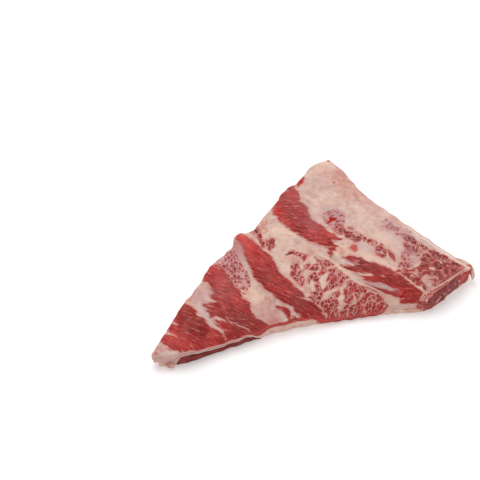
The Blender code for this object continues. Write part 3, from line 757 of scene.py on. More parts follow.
def smoothed(line, spread):
    # the same line with its corners rounded over about spread points
    pad = 3 * spread
    weight = bump(np.arange(-pad, pad + 1), 0, spread)
    before, after = 2 * line[0] - line[pad:0:-1], 2 * line[-1] - line[-2 : -pad - 2 : -1]
    padded = np.vstack([before, line, after])
    return np.stack([np.convolve(padded[:, c], weight / weight.sum(), "valid") for c in (0, 1)], axis=-1)


def acrossCut(front, back, share, inset):
    # points from the front edge to the back edge, both ends drawn in by inset
    along = back - front
    drawn = np.minimum(inset / np.linalg.norm(along, axis=-1), 0.22)[:, None]
    place = drawn + np.asarray(share)[None, :] * (1 - 2 * drawn)
    return front[:, None] + place[..., None] * along[:, None]


bites = dict(small=(0.45, 4.5), broad=(0.35, 9))  # (depth, length) in mm


def cutEdges(u):
    # the front and the back edge with rounded corners and small bites, each with the way out of the cut
    lines = []
    for line, way in zip(edges(u), (1, -1)):
        line = smoothed(line, 1)
        (deep, size), (deepBroad, sizeBroad) = bites["small"], bites["broad"]
        bite = deep * flatLumps(*line.T, size, 21) + deepBroad * flatLumps(*line.T, sizeBroad, 22)
        along = np.gradient(line, axis=0)
        out = way * np.stack([along[:, 1], -along[:, 0]], axis=-1) / np.linalg.norm(along, axis=1)[:, None]
        lines.append((line + bite[:, None] * out, out))
    return lines


def layer(u, low, high, walls):
    # The sides of one layer over the stations u: under it, the back, over it and the front. low and high
    # each have shares of the width, a height function and how far the edge is drawn in, and walls has the
    # rows of the sides as (share of the height, how far drawn in).
    front, back = (line for line, _ in cutEdges(u))
    faces = []
    for face in (low, high):
        plan = acrossCut(front, back, face["shares"], face["inset"])
        faces.append(np.dstack([plan, face["height"](*axes(plan), face["shares"][None, :])]))
    bottom, top = faces
    sides = []
    for end in (0, -1):
        rows = []
        for rise, inset in walls:
            plan = acrossCut(front, back, low["shares"][[end]], inset)[:, 0]
            rows.append(np.c_[plan, bottom[:, end, 2] + rise * (top[:, end, 2] - bottom[:, end, 2])])
        sides.append(np.stack(rows, axis=1))
    return bottom, sides[1], top, sides[0]


def bulge(wall, out, relief, rise):
    # moves a cut side out by its relief, most at half its height
    wall[..., :2] += (relief * np.sin(np.pi * rise))[..., None] * out[:, None]


def assemble(name, sides, ends):
    # A piece from the four sides of a layer, each (points, fields, grain), or points alone where nothing
    # shows. Over the top and down the front the rows run back.
    whole = []
    for (points, *shown), way in zip(sides, (1, 1, -1, -1)):
        fields, grain = shown or (tissueOf(points[..., 0]), 0 * points)
        fields = np.stack([fields[key] for key in tissue], axis=-1)
        whole.append(np.concatenate([points, grain, fields], axis=-1)[:, ::way])
    whole = np.concatenate(whole, axis=1)
    return makePiece(name, whole[..., :3], dict(zip(tissue, axes(whole[..., 6:]))), whole[..., 3:6], ends)


capTurns = np.radians([25, 50, 72])  # where the rows of the rounded ends lie


def cap(ring, beyond, ends):
    # rows that round off one end of a piece, and the point where they close
    centre = ring.mean(axis=0)
    away = centre - beyond.mean(axis=0)
    away[2] = 0
    away = away / np.linalg.norm(away)
    rows = [centre + (ring - centre) * np.cos(turn) + away * ends * np.sin(turn) for turn in capTurns]
    return rows, centre + away * ends


def makePiece(name, rings, fields, grain, ends):
    # one closed mesh from a row of rings, its ends rounded off over ends mm, with the fields as attributes
    count, extra = rings.shape[1], len(capTurns)
    firstCap, firstEnd = cap(rings[0], rings[extra], ends)
    lastCap, lastEnd = cap(rings[-1], rings[-extra - 1], ends)
    rows = np.concatenate([firstCap[::-1], rings, lastCap])
    station = np.r_[np.zeros(extra, int), np.arange(len(rings)), np.full(extra, len(rings) - 1)]
    points = np.vstack([rows.reshape(-1, 3), firstEnd, lastEnd])
    k, j = np.meshgrid(np.arange(len(rows) - 1), np.arange(count), indexing="ij")
    a, b = k * count + j, k * count + (j + 1) % count
    quads = np.stack([a, b, b + count, a + count], axis=-1).reshape(-1, 4)
    first, last, total = np.arange(count), (len(rows) - 1) * count + np.arange(count), len(points)
    fans = [(total - 2, int(g), int(f)) for f, g in zip(first, np.roll(first, -1))]
    fans += [(int(f), int(g), total - 1) for f, g in zip(last, np.roll(last, -1))]
    mesh = bpy.data.meshes.new(name)
    mesh.from_pydata(((points - (*middle, 0)) * mm).tolist(), [], quads.tolist() + fans)
    for key in tissue:
        values = np.r_[fields[key][station].ravel(), fields[key][0].mean(), fields[key][-1].mean()]
        mesh.attributes.new(key, "FLOAT", "POINT").data.foreach_set("value", values.astype(np.float32))
    values = np.vstack([grain[station].reshape(-1, 3), grain[0].mean(axis=0), grain[-1].mean(axis=0)])
    store = mesh.attributes.new("grain", "FLOAT_VECTOR", "POINT")
    store.data.foreach_set("vector", values.astype(np.float32).ravel())
    mesh.shade_smooth()
    piece = bpy.data.objects.new(name, mesh)
    bpy.context.scene.collection.objects.link(piece)
    return piece


gap = 0.05  # between the layers, so that they look like one piece of meat
wallRise = np.array([0.03, 0.1, 0.19, 0.29, 0.39, 0.49, 0.59, 0.69, 0.78, 0.85, 0.91, 0.96])
seamRise = wallRise[::2]
tuck = 0.25  # how far the layers draw in where they meet


def wallRows(rimInset, footInset):
    # a wall that rounds over at the top and only just turns in at the foot
    over = np.clip((wallRise - 0.72) / 0.28, 0, 1)
    under = np.clip(1 - wallRise / 0.12, 0, 1)
    return list(zip(wallRise, rimInset * (1 - np.sqrt(1 - over**2)) + footInset * under**2))


def seamRows(footInset, rimInset=0):
    # a thin wall that rounds in at the foot, and at the very top where rimInset is given
    foot = np.maximum(0, 1 - seamRise / 0.5) ** 2
    top = np.maximum(0, seamRise / 0.12 - 7.3)
    return list(zip(seamRise, footInset * foot + rimInset * top))


def hollow(x, y, clear=0.45, size=12):
    # the underside lies on the floor at its lumps and clears it a little between them
    return clear + clear * flatLumps(x, y, size, 41)


# The rib side. Places along the front side are x in mm, and a span is (starts, full from, full to, ends).
ribSideForm = dict(
    stations=330, under=10, over=232, rim=2.4, ends=2.0,
    endCut=(92, 98),  # the end cut's face starts between these
    marbling=(2, 12, 60, 68),  # marbling runs down the front side in this span
    fatLeft=(-122, -108), fatRight=(62, 68),  # beyond these the front side is fat right up
    overStrip=(-150, -138, -66, -56),  # the fat over the strip of outer muscle reaches up in this span
    grainLeft=95, grainDrop=1.2,  # left of this, the fibres on top carry on down the front side
)
# The front side's lean is toned lighter, painted light against the shade that falls on that side, and the end
# cut is toned darker, painted shade.
ribSideLook = dict(
    frontLean=2.2, frontTone=0.8, frontNet=0.08, endLean=1.6, endTone=0.7, fleck=8, fray=0.3,
    backLean=1.4, backTone=0.15, backNet=0.15, skin=0.35, flush=0.25, relief=(0.4, 0.35),
)


def frontTissue(x, y, z, rise, form, look):
    # the tissue on the front side and on the end cut, with its fibres' coordinates and its relief
    points = np.stack([x, y, z], axis=-1) * upright
    coarse, fine = lumps(points, 11, 31), lumps(points, 3.2, 32)
    px, py = inPhoto(x, y, z)
    ending = smoothStep(x, *form["endCut"])
    lean = look["frontLean"] + 1.2 * fine + look["endLean"] * ending
    for fleck in flecks:
        lean = lean - look["fleck"] * inSpot(px, py, fleck)
    lean = lean - 4.5 * ending * smoothStep(rise, 0.86, 0.97)  # a line of fat along the end cut's upper edge
    fatty = smoothStep(x, *form["fatRight"]) * (1 - ending) + 1 - smoothStep(x, *form["fatLeft"])
    reaches = 0.46 + 0.2 * coarse + 0.12 * fine  # as a share of the side's height
    # the fat over the strip is greyed and tanned: partly silverskin, partly painted shade under the rib
    # side's rim
    over = between(x, form["overStrip"]) * smoothStep(reaches - rise, -0.12, 0.12)
    brighter = 0.3 * bump(x, 100, 10) + 0.7 * smoothStep(x, 134, 140)  # at both ends of the end cut
    fields = tissueOf(
        x, lean=lean - 5 * fatty - 7 * over, fray=look["fray"], net=look["frontNet"] + 0.5 * bump(x, 99, 9),
        # painted light on the front side, painted shade on the end cut
        tone=look["frontTone"] + 0.2 * coarse - (look["endTone"] - 0.3 * fine) * ending + brighter,
        membrane=np.clip(0.5 * fatty + 0.4 * over, 0, 1),
        flush=np.clip(look["flush"] + 0.25 * coarse + 0.35 * over, 0, 1),
    )
    relief = look["relief"][1] * fine + look["relief"][0] * coarse
    return fields, np.stack([z + 0.5 * x, x - 0.5 * z, 0 * x], axis=-1), relief


def backTissue(x, y, z, rise, look):
    # the tissue on the spine side and the back side, in streaks that lie flat
    points = np.stack([x, y, z], axis=-1) * upright
    coarse, fine = lumps(points, 11, 31), lumps(points, 3.2, 32)
    streak = lumps(np.stack([x / 5, y / 5, z * 1.8], axis=-1), 3, 33)
    lean = look["backLean"] + 3.4 * coarse + fine + 2.4 * streak
    fields = tissueOf(
        x, lean=lean - 5 * smoothStep(rise, 0.6, 0.95), fray=look["fray"], net=look["backNet"],
        tone=look["backTone"] + 0.3 * coarse + 0.2 * streak,
        membrane=np.clip(look["skin"] + 0.2 * coarse, 0, 1),
        flush=np.clip(look["flush"] + 0.25 * coarse, 0, 1),
    )
    return fields, np.stack([x, z, 0 * x], axis=-1), look["relief"][1] * fine + look["relief"][0] * coarse


def buildRibSide(form, look):
    u = np.linspace(0, 1, form["stations"])
    low = dict(
        shares=np.linspace(0, 1, form["under"]), inset=tuck,
        height=lambda x, y, share: seam(x, y, share) + gap,
    )
    high = dict(
        shares=np.linspace(0, 1, form["over"]), inset=form["rim"], height=lambda x, y, share: ribTop(x, y),
    )
    bottom, back, top, front = layer(u, low, high, wallRows(form["rim"], tuck))
    topFields, topGrain, relief = ribTissue(*axes(top))
    rise = wallRise + 0 * front[..., 0]
    frontFields, frontGrain, frontRelief = frontTissue(*axes(front), rise, form, look)
    backFields, backGrain, backRelief = backTissue(*axes(back), rise, look)
    broad, ending = between(front[..., 0], form["marbling"]), smoothStep(front[..., 0], *form["endCut"])
    blend = smoothStep(rise, 0.7 - 0.4 * broad + 0.22 * ending, 1.0 - 0.3 * broad)
    for key in tissue:  # the sides take on what lies on top as they round over
        for wall, end in ((frontFields, 0), (backFields, -1)):
            wall[key] = wall[key] * (1 - blend) + topFields[key][:, [end]] * blend
    down = (top[:, [0], 2] - front[..., 2])[..., None] * (0, form["grainDrop"], 0)
    frontGrain = np.where(front[..., :1] < form["grainLeft"], topGrain[:, [0]] + down, frontGrain)
    frontOut, backOut = (out for _, out in cutEdges(u))
    top[..., 2] += relief
    for wall, out, own, end in ((front, frontOut, frontRelief, 0), (back, backOut, backRelief, -1)):
        bulge(wall, out, own, rise)
        wall[..., 2] += blend**2 * relief[:, [end]]
    return assemble("ribSide", (
        (bottom,), (back, backFields, backGrain), (top, topFields, topGrain),
        (front, frontFields, frontGrain),
    ), form["ends"])


fatSeamForm = dict(
    start=1 / partSteps, stations=330, under=64, over=12, foot=1.2, ends=1.0,
    greyBand=(-146, -132, -72, -60),  # silverskin shows on the fat over the strip, its grey partly painted shade under the rib side's rim
    redBand=(4, 9, 56, 62), redEnd=(104, 110),  # the fat's edge is lean here, and in patches from there on
    red=(3.2, 3), grey=0.3, fray=0.8, net=0.3, tone=0.35, relief=(0.35, 0.3),
)


def underTissue(x, y):
    # the outer side that the cut lies on: fat with silverskin over it, and windows and specks of muscle
    coarse, fine = flatLumps(x, y, 30, 51), flatLumps(x, y, 4, 52)
    along, across = turned(x + 6 * coarse, y, -0.75)
    border, value = cells(along / 3.2, across, 15, 53)
    lean = np.where(value > 0.52, border - 2.2 - 1.2 * fine, -3.0)
    speck, some = cells(x, y, 5, 54)
    fields = tissueOf(
        x, lean=np.maximum(lean, np.where(some > 0.86, speck - 1.1, -3)), fray=0.9, tone=0.4 + 0.3 * value,
        membrane=smoothStep(flatLumps(x, y, 22, 55), 0, 0.5),
        cream=smoothStep(flatLumps(x, y, 17, 56), 0, 0.6),
        flush=0.7 * smoothStep(flatLumps(x, y, 9, 57), 0.25, 0.7),
    )
    return fields, np.stack([along, across, 0 * x], axis=-1)


def seamTissue(x, y, z, form, front):
    # the tissue on the fat's cut sides, with its coordinates and its relief
    points = np.stack([x, y, z], axis=-1) * upright
    coarse, fine = lumps(points, 11, 61), lumps(points, 3, 62)
    lean, grey = 1.4 * fine - 2.2, form["grey"]
    if front:
        patches = smoothStep(x, *form["redEnd"]) * smoothStep(coarse, -0.1, 0.6)
        lean = lean + form["red"][1] * patches + form["red"][0] * between(x, form["redBand"])
        grey = between(x, form["greyBand"])
    fields = tissueOf(
        x, lean=lean, fray=form["fray"], net=form["net"], tone=form["tone"],
        membrane=np.clip(grey + 0.25 * coarse, 0, 1),
        cream=np.clip(0.5 - grey + 0.4 * coarse, 0, 1),
        flush=np.clip(0.25 + 0.5 * coarse + 0.2 * fine, 0, 1),
    )
    return fields, np.stack([x, z, 0 * x], axis=-1), form["relief"][1] * fine + form["relief"][0] * coarse


def buildFatSeam(form):
    u = np.linspace(form["start"], 1, form["stations"])
    low = dict(
        shares=np.linspace(0, 1, form["under"]), inset=form["foot"],
        height=lambda x, y, share: stripShape(x, share) + hollow(x, y),
    )
    high = dict(shares=np.linspace(0, 1, form["over"]), height=seam, inset=tuck)
    bottom, back, top, front = layer(u, low, high, seamRows(form["foot"], tuck))
    frontFields, frontGrain, frontRelief = seamTissue(*axes(front), form, True)
    backFields, backGrain, backRelief = seamTissue(*axes(back), form, False)
    rise = seamRise + 0 * front[..., 0]
    (_, frontOut), (_, backOut) = cutEdges(u)
    bulge(front, frontOut, frontRelief, rise)
    bulge(back, backOut, backRelief, rise)
    under = underTissue(bottom[..., 0], bottom[..., 1])
    return assemble("fatSeam", (
        (bottom, *under), (back, backFields, backGrain), (top,), (front, frontFields, frontGrain),
    ), form["ends"])


outerStripForm = dict(
    stations=90, steps=30, foot=1.2, flat=0.3, least=0.4, bulge=0.5, ends=0.6,
    lean=3.2, uneven=1.4, fray=0.6, tone=0.1, mottle=0.3, flush=0.3,
)


def stripTissue(points, form):
    # the strip's lean, with fibres that lean over along it
    coarse, fine = lumps(points * upright, 12, 71), lumps(points * upright, 3.2, 72)
    x, y, z = axes(points)
    fields = tissueOf(
        x, lean=form["lean"] + form["uneven"] * fine, fray=form["fray"],
        tone=form["tone"] + form["mottle"] * coarse, flush=form["flush"],
    )
    return fields, np.stack([x + z, z + 0.4 * y, 0 * x], axis=-1)


def buildOuterStrip(form):
    every = np.linspace(0, 1, 4000)  # fine enough to find the strip's own share of the front edge
    along = edges(every)[0][:, 0]
    held = every[(along > strip["start"]) & (along < strip["stop"])]
    u = np.linspace(held[0], held[-1], form["stations"])
    shares = np.linspace(0, strip["reach"], form["steps"])
    low = dict(
        shares=shares, inset=form["foot"],
        height=lambda x, y, share: np.minimum(hollow(x, y), form["flat"]),
    )
    high = dict(
        shares=shares, inset=tuck,
        height=lambda x, y, share: np.maximum(stripShape(x, share), form["least"]) + hollow(x, y) - gap,
    )
    sides = layer(u, low, high, seamRows(form["foot"]))
    bottom, back, _, front = sides
    back[..., :2] = bottom[:, [-1], :2]
    dressed = [(points, *stripTissue(points, form)) for points in sides]
    # underneath, the lean fades out into the fat at its inner side and its end
    inner = shares + 0.04 * lumps(bottom, 14, 74)
    ending = bottom[..., 0] + 5 * lumps(bottom, 14, 75)
    fade = np.maximum(
        smoothStep(inner, strip["reach"] - 0.1, strip["reach"] - 0.01),
        smoothStep(ending, strip["stop"] - 22, strip["stop"] - 6),
    )
    dressed[0][1]["lean"] -= 8 * fade
    bulge(front, cutEdges(u)[0][1], form["bulge"] * lumps(front, 5, 73), seamRise)
    return assemble("outerStrip", dressed, form["ends"])


# The loose ends of fat: a bead each, along (x, y, z, radius) points, and no lower than least.
beadForm = dict(
    sides=28, rows=34, flat=0.75, ends=0.3, least=0.05, lumps=(0.16, 3.5), fineLumps=(0.08, 1.8),
)
lappetPath = [
    (137, -9, 15.4, 2.2), (144.5, -15.5, 16.4, 2.9), (150, -21.5, 14.8, 2.9), (152, -27.5, 11.5, 2.4),
    (151.5, -31, 9, 1.2),
]
scrapPath = [
    (-147.5, -125.5, 3.2, 1.6), (-141.5, -125.5, 4, 2.4), (-137, -127, 4.2, 3.8), (-134, -129.5, 3.6, 3.2),
]


def bead(name, path, form, seed, tissueAt):
    # a tapering lump along its path
    path = np.array(path, float)
    at = np.linspace(0, len(path) - 1, form["rows"])
    line = np.stack([through(list(enumerate(path[:, c])), at) for c in range(4)], axis=-1)
    ahead = np.gradient(line[:, :3], axis=0)
    ahead /= np.linalg.norm(ahead, axis=1, keepdims=True)
    sideways = np.cross(ahead, (0, 0, 1))
    sideways /= np.linalg.norm(sideways, axis=1, keepdims=True)
    upwards = np.cross(sideways, ahead)
    taper = np.sin(np.pi * (np.arange(form["rows"]) + 0.4) / form["rows"]) ** 0.4
    angle = np.linspace(0, 2 * np.pi, form["sides"], endpoint=False)[None, :, None]
    radius = (line[:, 3] * taper)[:, None, None]
    centre = line[:, None, :3]
    rings = centre + radius * (
        np.cos(angle) * sideways[:, None] + form["flat"] * np.sin(angle) * upwards[:, None]
    )
    (by, size), (fineBy, fineSize) = form["lumps"], form["fineLumps"]
    push = 1 + by * lumps(rings, size, seed) + fineBy * lumps(rings, fineSize, seed + 1)
    rings = centre + (rings - centre) * push[..., None]
    rings[..., 2] = np.maximum(rings[..., 2], form["least"])
    rings = rings[:, ::-1]
    return makePiece(name, rings, tissueAt(rings), rings, form["ends"])


def lappetTissue(points):
    # cream fat, bare lean on the inner side of its lower half
    fine = lumps(points, 3, 82)
    px, py = inPhoto(*axes(points))
    inner = smoothStep(472.5 - px + 0.6 * fine, 0, 2) * smoothStep(py, 263.5, 266.5)
    return tissueOf(
        px, lean=5 * inner - 2.4 + 0.8 * fine, fray=0.5, tone=0.9, cream=0.6,
        membrane=np.clip(0.2 + 0.3 * fine, 0, 1) * (1 - inner), flush=np.clip(0.2 + 0.5 * fine, 0, 1),
    )


def scrapTissue(points):
    # pink fat with lean showing through it
    fine = lumps(points, 3, 81)
    return tissueOf(
        fine, lean=-1.5 + 1.5 * fine, fray=0.6, tone=0.6, membrane=np.clip(0.3 * fine, 0, 1), cream=0.3,
        flush=np.clip(0.5 + 0.5 * fine, 0, 1),
    )


ribSide = buildRibSide(ribSideForm, ribSideLook)
print("rib side built", len(ribSide.data.polygons))
fatSeam = buildFatSeam(fatSeamForm)
print("fat seam built", len(fatSeam.data.polygons))
outerStrip = buildOuterStrip(outerStripForm)
print("outer strip built", len(outerStrip.data.polygons))
lappet = bead("lappet", lappetPath, beadForm, 83, lappetTissue)
scrap = bead("scrap", scrapPath, beadForm, 85, scrapTissue)
print("loose ends built")


def put(tree, kind, inputs, out=0, **settings):
    # adds a node; an input is a value or another node's output
    node = tree.nodes.new("ShaderNode" + kind)
    for name, value in settings.items():
        setattr(node, name, value)
    for name, value in inputs.items():
        if isinstance(value, bpy.types.NodeSocket):
            tree.links.new(value, node.inputs[name])
        else:
            node.inputs[name].default_value = value
    return node.outputs[out]


def calc(tree, operation, a, b=0.0, clamp=False):
    return put(tree, "Math", {0: a, 1: b}, operation=operation, use_clamp=clamp)


def stretch(tree, value, low, high, toLow=0.0, toHigh=1.0, way="SMOOTHSTEP"):
    return put(tree, "MapRange", {
        "Value": value, "From Min": low, "From Max": high, "To Min": toLow, "To Max": toHigh,
    }, interpolation_type=way)


def scaled(tree, vector, along, across):
    return put(tree, "VectorMath", {0: vector, 1: (along, across, across)}, operation="MULTIPLY")


def blendColour(tree, share, a, b):
    return put(tree, "Mix", {0: share, 6: a, 7: b}, 2, data_type="RGBA")


def blendNumber(tree, share, a, b):
    return put(tree, "Mix", {0: share, 2: a, 3: b}, data_type="FLOAT")


def noise(tree, vector, scale, detail=2.0, rough=0.5, out=0):
    inputs = {"Vector": vector, "Scale": scale, "Detail": detail, "Roughness": rough}
    return put(tree, "TexNoise", inputs, out)


def field(tree, name, out=2):
    return put(tree, "Attribute", {}, out, attribute_name=name)


def paint(red, green, blue):
    # a colour read off the photograph, 0 to 255, as Blender takes it
    value = np.array([red, green, blue]) / 255
    value = np.where(value <= 0.04045, value / 12.92, ((value + 0.055) / 1.055) ** 2.4)
    return (*(float(v) for v in value), 1.0)


def makeGroup(name, inputs, outputs):
    tree = bpy.data.node_groups.new(name, "ShaderNodeTree")
    for way, sockets in (("INPUT", inputs), ("OUTPUT", outputs)):
        for label, kind in sockets.items():
            tree.interface.new_socket(label, in_out=way, socket_type="NodeSocket" + kind)
    return tree, tree.nodes.new("NodeGroupInput").outputs, tree.nodes.new("NodeGroupOutput").inputs


def useGroup(tree, group, inputs):
    node = tree.nodes.new("ShaderNodeGroup")
    node.node_tree = group
    for name, value in inputs.items():
        tree.links.new(value, node.inputs[name])
    return node.outputs


def setSockets(shader, values):
    for name, value in values.items():
        shader.inputs[name].default_value = value


# Lean meat: strands along the fibres, pale threads of fat between them, redder where it meets the fat.
leanLook = dict(
    bundles=(0.065, 0.36), threads=(0.12, 0.9),  # scales along and across the fibres
    contrast=0.48,  # how much darker and lighter the bundles are
    # the darkest red, reached where the tone is lowest: in the darkest bundles and in the painted shade of
    # the holes and the end cut
    darkest=paint(84, 18, 16),
    reds=[  # from tone, to tone, colour
        (-0.7, -0.1, paint(108, 26, 25)), (-0.1, 0.4, paint(142, 40, 38)), (0.35, 0.75, paint(170, 50, 48)),
        (0.7, 1.2, paint(208, 74, 68)),
    ],
    thread=paint(210, 134, 126), rim=paint(190, 66, 58), skin=paint(160, 108, 112),
)


def makeLeanFibre(look):
    tree, given, taken = makeGroup(
        "leanFibre", dict(Grain="Vector", Tone="Float", Depth="Float", Membrane="Float", Threads="Float"),
        dict(Colour="Color", Height="Float"),
    )
    bundle = noise(tree, scaled(tree, given["Grain"], *look["bundles"]), 1.0, 3.0, 0.6)
    thread = noise(tree, scaled(tree, given["Grain"], *look["threads"]), 1.0, 2.0, 0.6)
    uneven = stretch(tree, bundle, 0.25, 0.75, -look["contrast"], look["contrast"], "LINEAR")
    light = calc(tree, "ADD", given["Tone"], uneven)
    red = look["darkest"]
    for low, high, colour in look["reds"]:
        red = blendColour(tree, stretch(tree, light, low, high), red, colour)
    pale = calc(tree, "MULTIPLY", stretch(tree, thread, 0.5, 0.72), given["Threads"])
    red = blendColour(tree, pale, red, look["thread"])
    red = blendColour(tree, stretch(tree, given["Depth"], 2.2, 0.2, 0, 0.5), red, look["rim"])
    red = blendColour(tree, calc(tree, "MULTIPLY", given["Membrane"], 0.5), red, look["skin"])
    tree.links.new(red, taken["Colour"])
    tree.links.new(calc(tree, "ADD", bundle, thread), taken["Height"])
    return tree


# Fat: pinkish cream, mottled, greyer under silverskin, pinker where it is stained, and a painted highlight
# where the cream runs above 1.
fatLook = dict(
    mottle=190.0, clumps=70.0,  # scales
    dull=paint(200, 158, 146), plain=paint(215, 182, 169), light=paint(231, 205, 192),
    cream=paint(228, 194, 175), skin=paint(197, 164, 163), flush=paint(198, 120, 108),
    # highlight is a painted highlight, whiter than cream, for the pale rims, lines and fold
    raw=paint(194, 84, 76), highlight=paint(238, 222, 215), bleed=paint(198, 122, 114),
)


def makeFatTissue(look):
    tree, given, taken = makeGroup(
        "fatTissue", dict(Place="Vector", Membrane="Float", Cream="Float", Flush="Float", Depth="Float"),
        dict(Colour="Color", Height="Float"),
    )
    mottle = noise(tree, given["Place"], look["mottle"], 3.0, 0.6)
    clumps = noise(tree, given["Place"], look["clumps"], 2.0, 0.5)
    pale = blendColour(tree, stretch(tree, clumps, 0.35, 0.65), look["dull"], look["plain"])
    pale = blendColour(tree, stretch(tree, mottle, 0.35, 0.7, 0, 0.6), pale, look["light"])
    pale = blendColour(tree, given["Cream"], pale, look["cream"])
    skin = calc(tree, "MULTIPLY", given["Membrane"], stretch(tree, clumps, 0.3, 0.6, 0.45, 0.95))
    pale = blendColour(tree, skin, pale, look["skin"])
    flushed = calc(tree, "MULTIPLY", given["Flush"], stretch(tree, mottle, 0.7, 0.3, 0.55, 1.0))
    pale = blendColour(tree, calc(tree, "MULTIPLY", flushed, 0.8), pale, look["flush"])
    pale = blendColour(tree, stretch(tree, given["Flush"], 1.0, 1.6), pale, look["raw"])
    # cream above 1 paints a highlight
    pale = blendColour(tree, stretch(tree, given["Cream"], 1.0, 1.6), pale, look["highlight"])
    pale = blendColour(tree, stretch(tree, given["Depth"], -2.4, 0.0, 0, 0.6), pale, look["bleed"])
    tree.links.new(pale, taken["Colour"])
    tree.links.new(calc(tree, "ADD", mottle, clumps), taken["Height"])
    return tree


leanFibre, fatTissue = makeLeanFibre(leanLook), makeFatTissue(fatLook)

# The whole surface: lean and fat where the fields say, with a fine net of fat between lumps of meat.
meatLook = dict(
    net=paint(215, 165, 156), netUnderSkin=paint(190, 150, 154), blood=paint(168, 22, 20),
    bump=0.55, pits=420.0,  # how strong the relief is, and how fine the pits in the damp surface are
    sockets={
        "IOR": 1.42, "Specular IOR Level": 0.16, "Subsurface Weight": 0.12,
        "Subsurface Radius": (1.0, 0.45, 0.3), "Subsurface Scale": 0.0015,
    },
)


def meatMaterial(name, leanRough, fatRough, bumpDepth, look=meatLook):
    material = bpy.data.materials.new(name)
    material.use_nodes = True
    tree = material.node_tree
    shader = tree.nodes["Principled BSDF"]
    place = put(tree, "TexCoord", {}, "Object")
    grain = field(tree, "grain", 1)
    lean, fray, net, tone, membrane, cream, flush, blood = (field(tree, key) for key in tissue)
    # how deep in the lean a point lies once its edge is frayed along the fibres, and so whether it is lean
    frayed = noise(tree, scaled(tree, grain, 0.1, 0.5), 1.0, 3.0, 0.6)
    jag = stretch(tree, frayed, 0.2, 0.8, -3.4, 3.4, "LINEAR")
    ragged = calc(tree, "MULTIPLY", fray, stretch(tree, lean, 1.0, 4.5, 1.0, 0.25))
    depth = calc(tree, "ADD", lean, calc(tree, "MULTIPLY", ragged, jag))
    soft = calc(tree, "ADD", calc(tree, "MULTIPLY", fray, 0.8), 0.3)
    isLean = stretch(tree, calc(tree, "DIVIDE", depth, soft), -0.85, 0.85)
    # the fine net: borders of cells that wander, of an uneven width
    wander = put(tree, "VectorMath", {
        0: noise(tree, scaled(tree, grain, 0.4, 0.4), 1.0, 2.0, 0.6, out=1), 1: (0.5, 0.5, 0.5),
    }, operation="SUBTRACT")
    wandered = put(tree, "VectorMath", {0: wander, 1: (2.6, 2.6, 0.0), 2: grain}, operation="MULTIPLY_ADD")
    cell = put(tree, "TexVoronoi", {"Vector": wandered, "Scale": 0.25}, feature="DISTANCE_TO_EDGE")
    wide = stretch(tree, noise(tree, grain, 0.16, 2.0, 0.5), 0.3, 0.7, -0.06, 0.07, "LINEAR")
    wide = calc(tree, "ADD", wide, stretch(tree, net, 0.6, 1.0, 0.0, 0.06, "LINEAR"))
    line = stretch(tree, calc(tree, "SUBTRACT", cell, wide), 0.08, -0.03)
    line = calc(tree, "MULTIPLY", line, net)
    meat = useGroup(tree, leanFibre, {
        "Grain": grain, "Tone": tone, "Depth": depth, "Membrane": membrane,
        "Threads": calc(tree, "MULTIPLY", fray, 0.5),
    })
    fat = useGroup(tree, fatTissue, {
        "Place": place, "Membrane": membrane, "Cream": cream, "Flush": flush, "Depth": depth,
    })
    netColour = blendColour(tree, membrane, look["net"], look["netUnderSkin"])
    netted = blendColour(tree, line, meat["Colour"], netColour)
    colour = blendColour(tree, isLean, fat["Colour"], netted)
    colour = blendColour(tree, blood, colour, look["blood"])
    pits = noise(tree, place, look["pits"], 2.0, 0.6)
    height = blendNumber(tree, isLean, fat["Height"], meat["Height"])
    height = calc(tree, "ADD", height, calc(tree, "MULTIPLY", pits, 0.5))
    normal = put(tree, "Bump", {"Strength": look["bump"], "Distance": bumpDepth * mm, "Height": height})
    rough = blendNumber(tree, isLean, fatRough, leanRough)
    rough = calc(tree, "ADD", rough, stretch(tree, pits, 0.3, 0.7, -0.08, 0.1))
    rough = calc(tree, "SUBTRACT", rough, calc(tree, "MULTIPLY", blood, 0.2), clamp=True)
    tree.links.new(colour, shader.inputs["Base Color"])
    tree.links.new(rough, shader.inputs["Roughness"])
    tree.links.new(normal, shader.inputs["Normal"])
    setSockets(shader, look["sockets"])
    return material


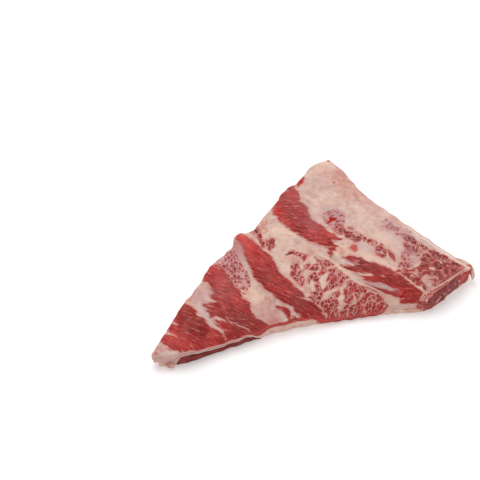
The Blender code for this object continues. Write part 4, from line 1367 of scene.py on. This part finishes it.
rawMeat = meatMaterial("rawMeat", leanRough=0.36, fatRough=0.44, bumpDepth=0.4)
rawFat = meatMaterial("rawFat", leanRough=0.45, fatRough=0.48, bumpDepth=0.35)
outerMuscle = meatMaterial("outerMuscle", leanRough=0.4, fatRough=0.46, bumpDepth=0.35)
for piece, look, node, slot in (
    (ribSide, rawMeat, "rib_side_meat", "rib_side_meat"),
    (fatSeam, rawFat, "fat_seam", "fat"),
    (outerStrip, outerMuscle, "outer_muscle_strip", "outer_muscle"),
    (lappet, rawFat, "rib_side_meat", "fat"),
    (scrap, rawFat, "fat_seam", "fat"),
):
    piece.data.materials.append(look)
    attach(piece, "root")
    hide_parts(node)
print("materials done")

white = (1, 1, 1, 1)
studio = dict(
    floorSide=8, world=0.6,
    paper={
        "Base Color": (0.97, 0.97, 0.97, 1), "Roughness": 0.8, "Specular IOR Level": 0.2,
        "Emission Color": white, "Emission Strength": 0.2,
    },
    lights={  # place in metres, size in metres, power in watts
        "overhead": ((-0.35, 0.45, 1.5), 1.1, 11.5),
        "behind": ((0.5, 1.3, 0.9), 0.6, 2.5),
    },
)

bpy.ops.mesh.primitive_plane_add(size=studio["floorSide"])
floor = bpy.context.active_object
floor.name = "floor"
paper = bpy.data.materials.new("paper")
paper.use_nodes = True
setSockets(paper.node_tree.nodes["Principled BSDF"], studio["paper"])
floor.data.materials.append(paper)

world = bpy.data.worlds.new("studio")
world.use_nodes = True
setSockets(world.node_tree.nodes["Background"], {"Color": white, "Strength": studio["world"]})
bpy.context.scene.world = world

for name, (place, size, power) in studio["lights"].items():
    lamp = bpy.data.lights.new(name, "AREA")
    lamp.shape, lamp.size, lamp.energy = "SQUARE", size, power
    holder = bpy.data.objects.new(name, lamp)
    holder.location = place
    holder.rotation_euler = (-Vector(place)).to_track_quat("-Z", "Y").to_euler()
    bpy.context.scene.collection.objects.link(holder)

aim = Vector(((shot["aim"][0] - middle[0]) * mm, (shot["aim"][1] - middle[1]) * mm, 0))
lens = bpy.data.cameras.new("camera")
lens.lens, lens.sensor_width, lens.clip_start = shot["lens"], shot["sensor"], shot["near"] * mm
camera = bpy.data.objects.new("camera", lens)
camera.location = aim + Vector(towards) * shot["distance"] * mm
camera.rotation_euler = (np.pi / 2 - tilt, 0, 0)
bpy.context.scene.collection.objects.link(camera)
bpy.context.scene.camera = camera
bpy.context.scene.view_settings.view_transform = "Standard"

print("floor, light and camera done")
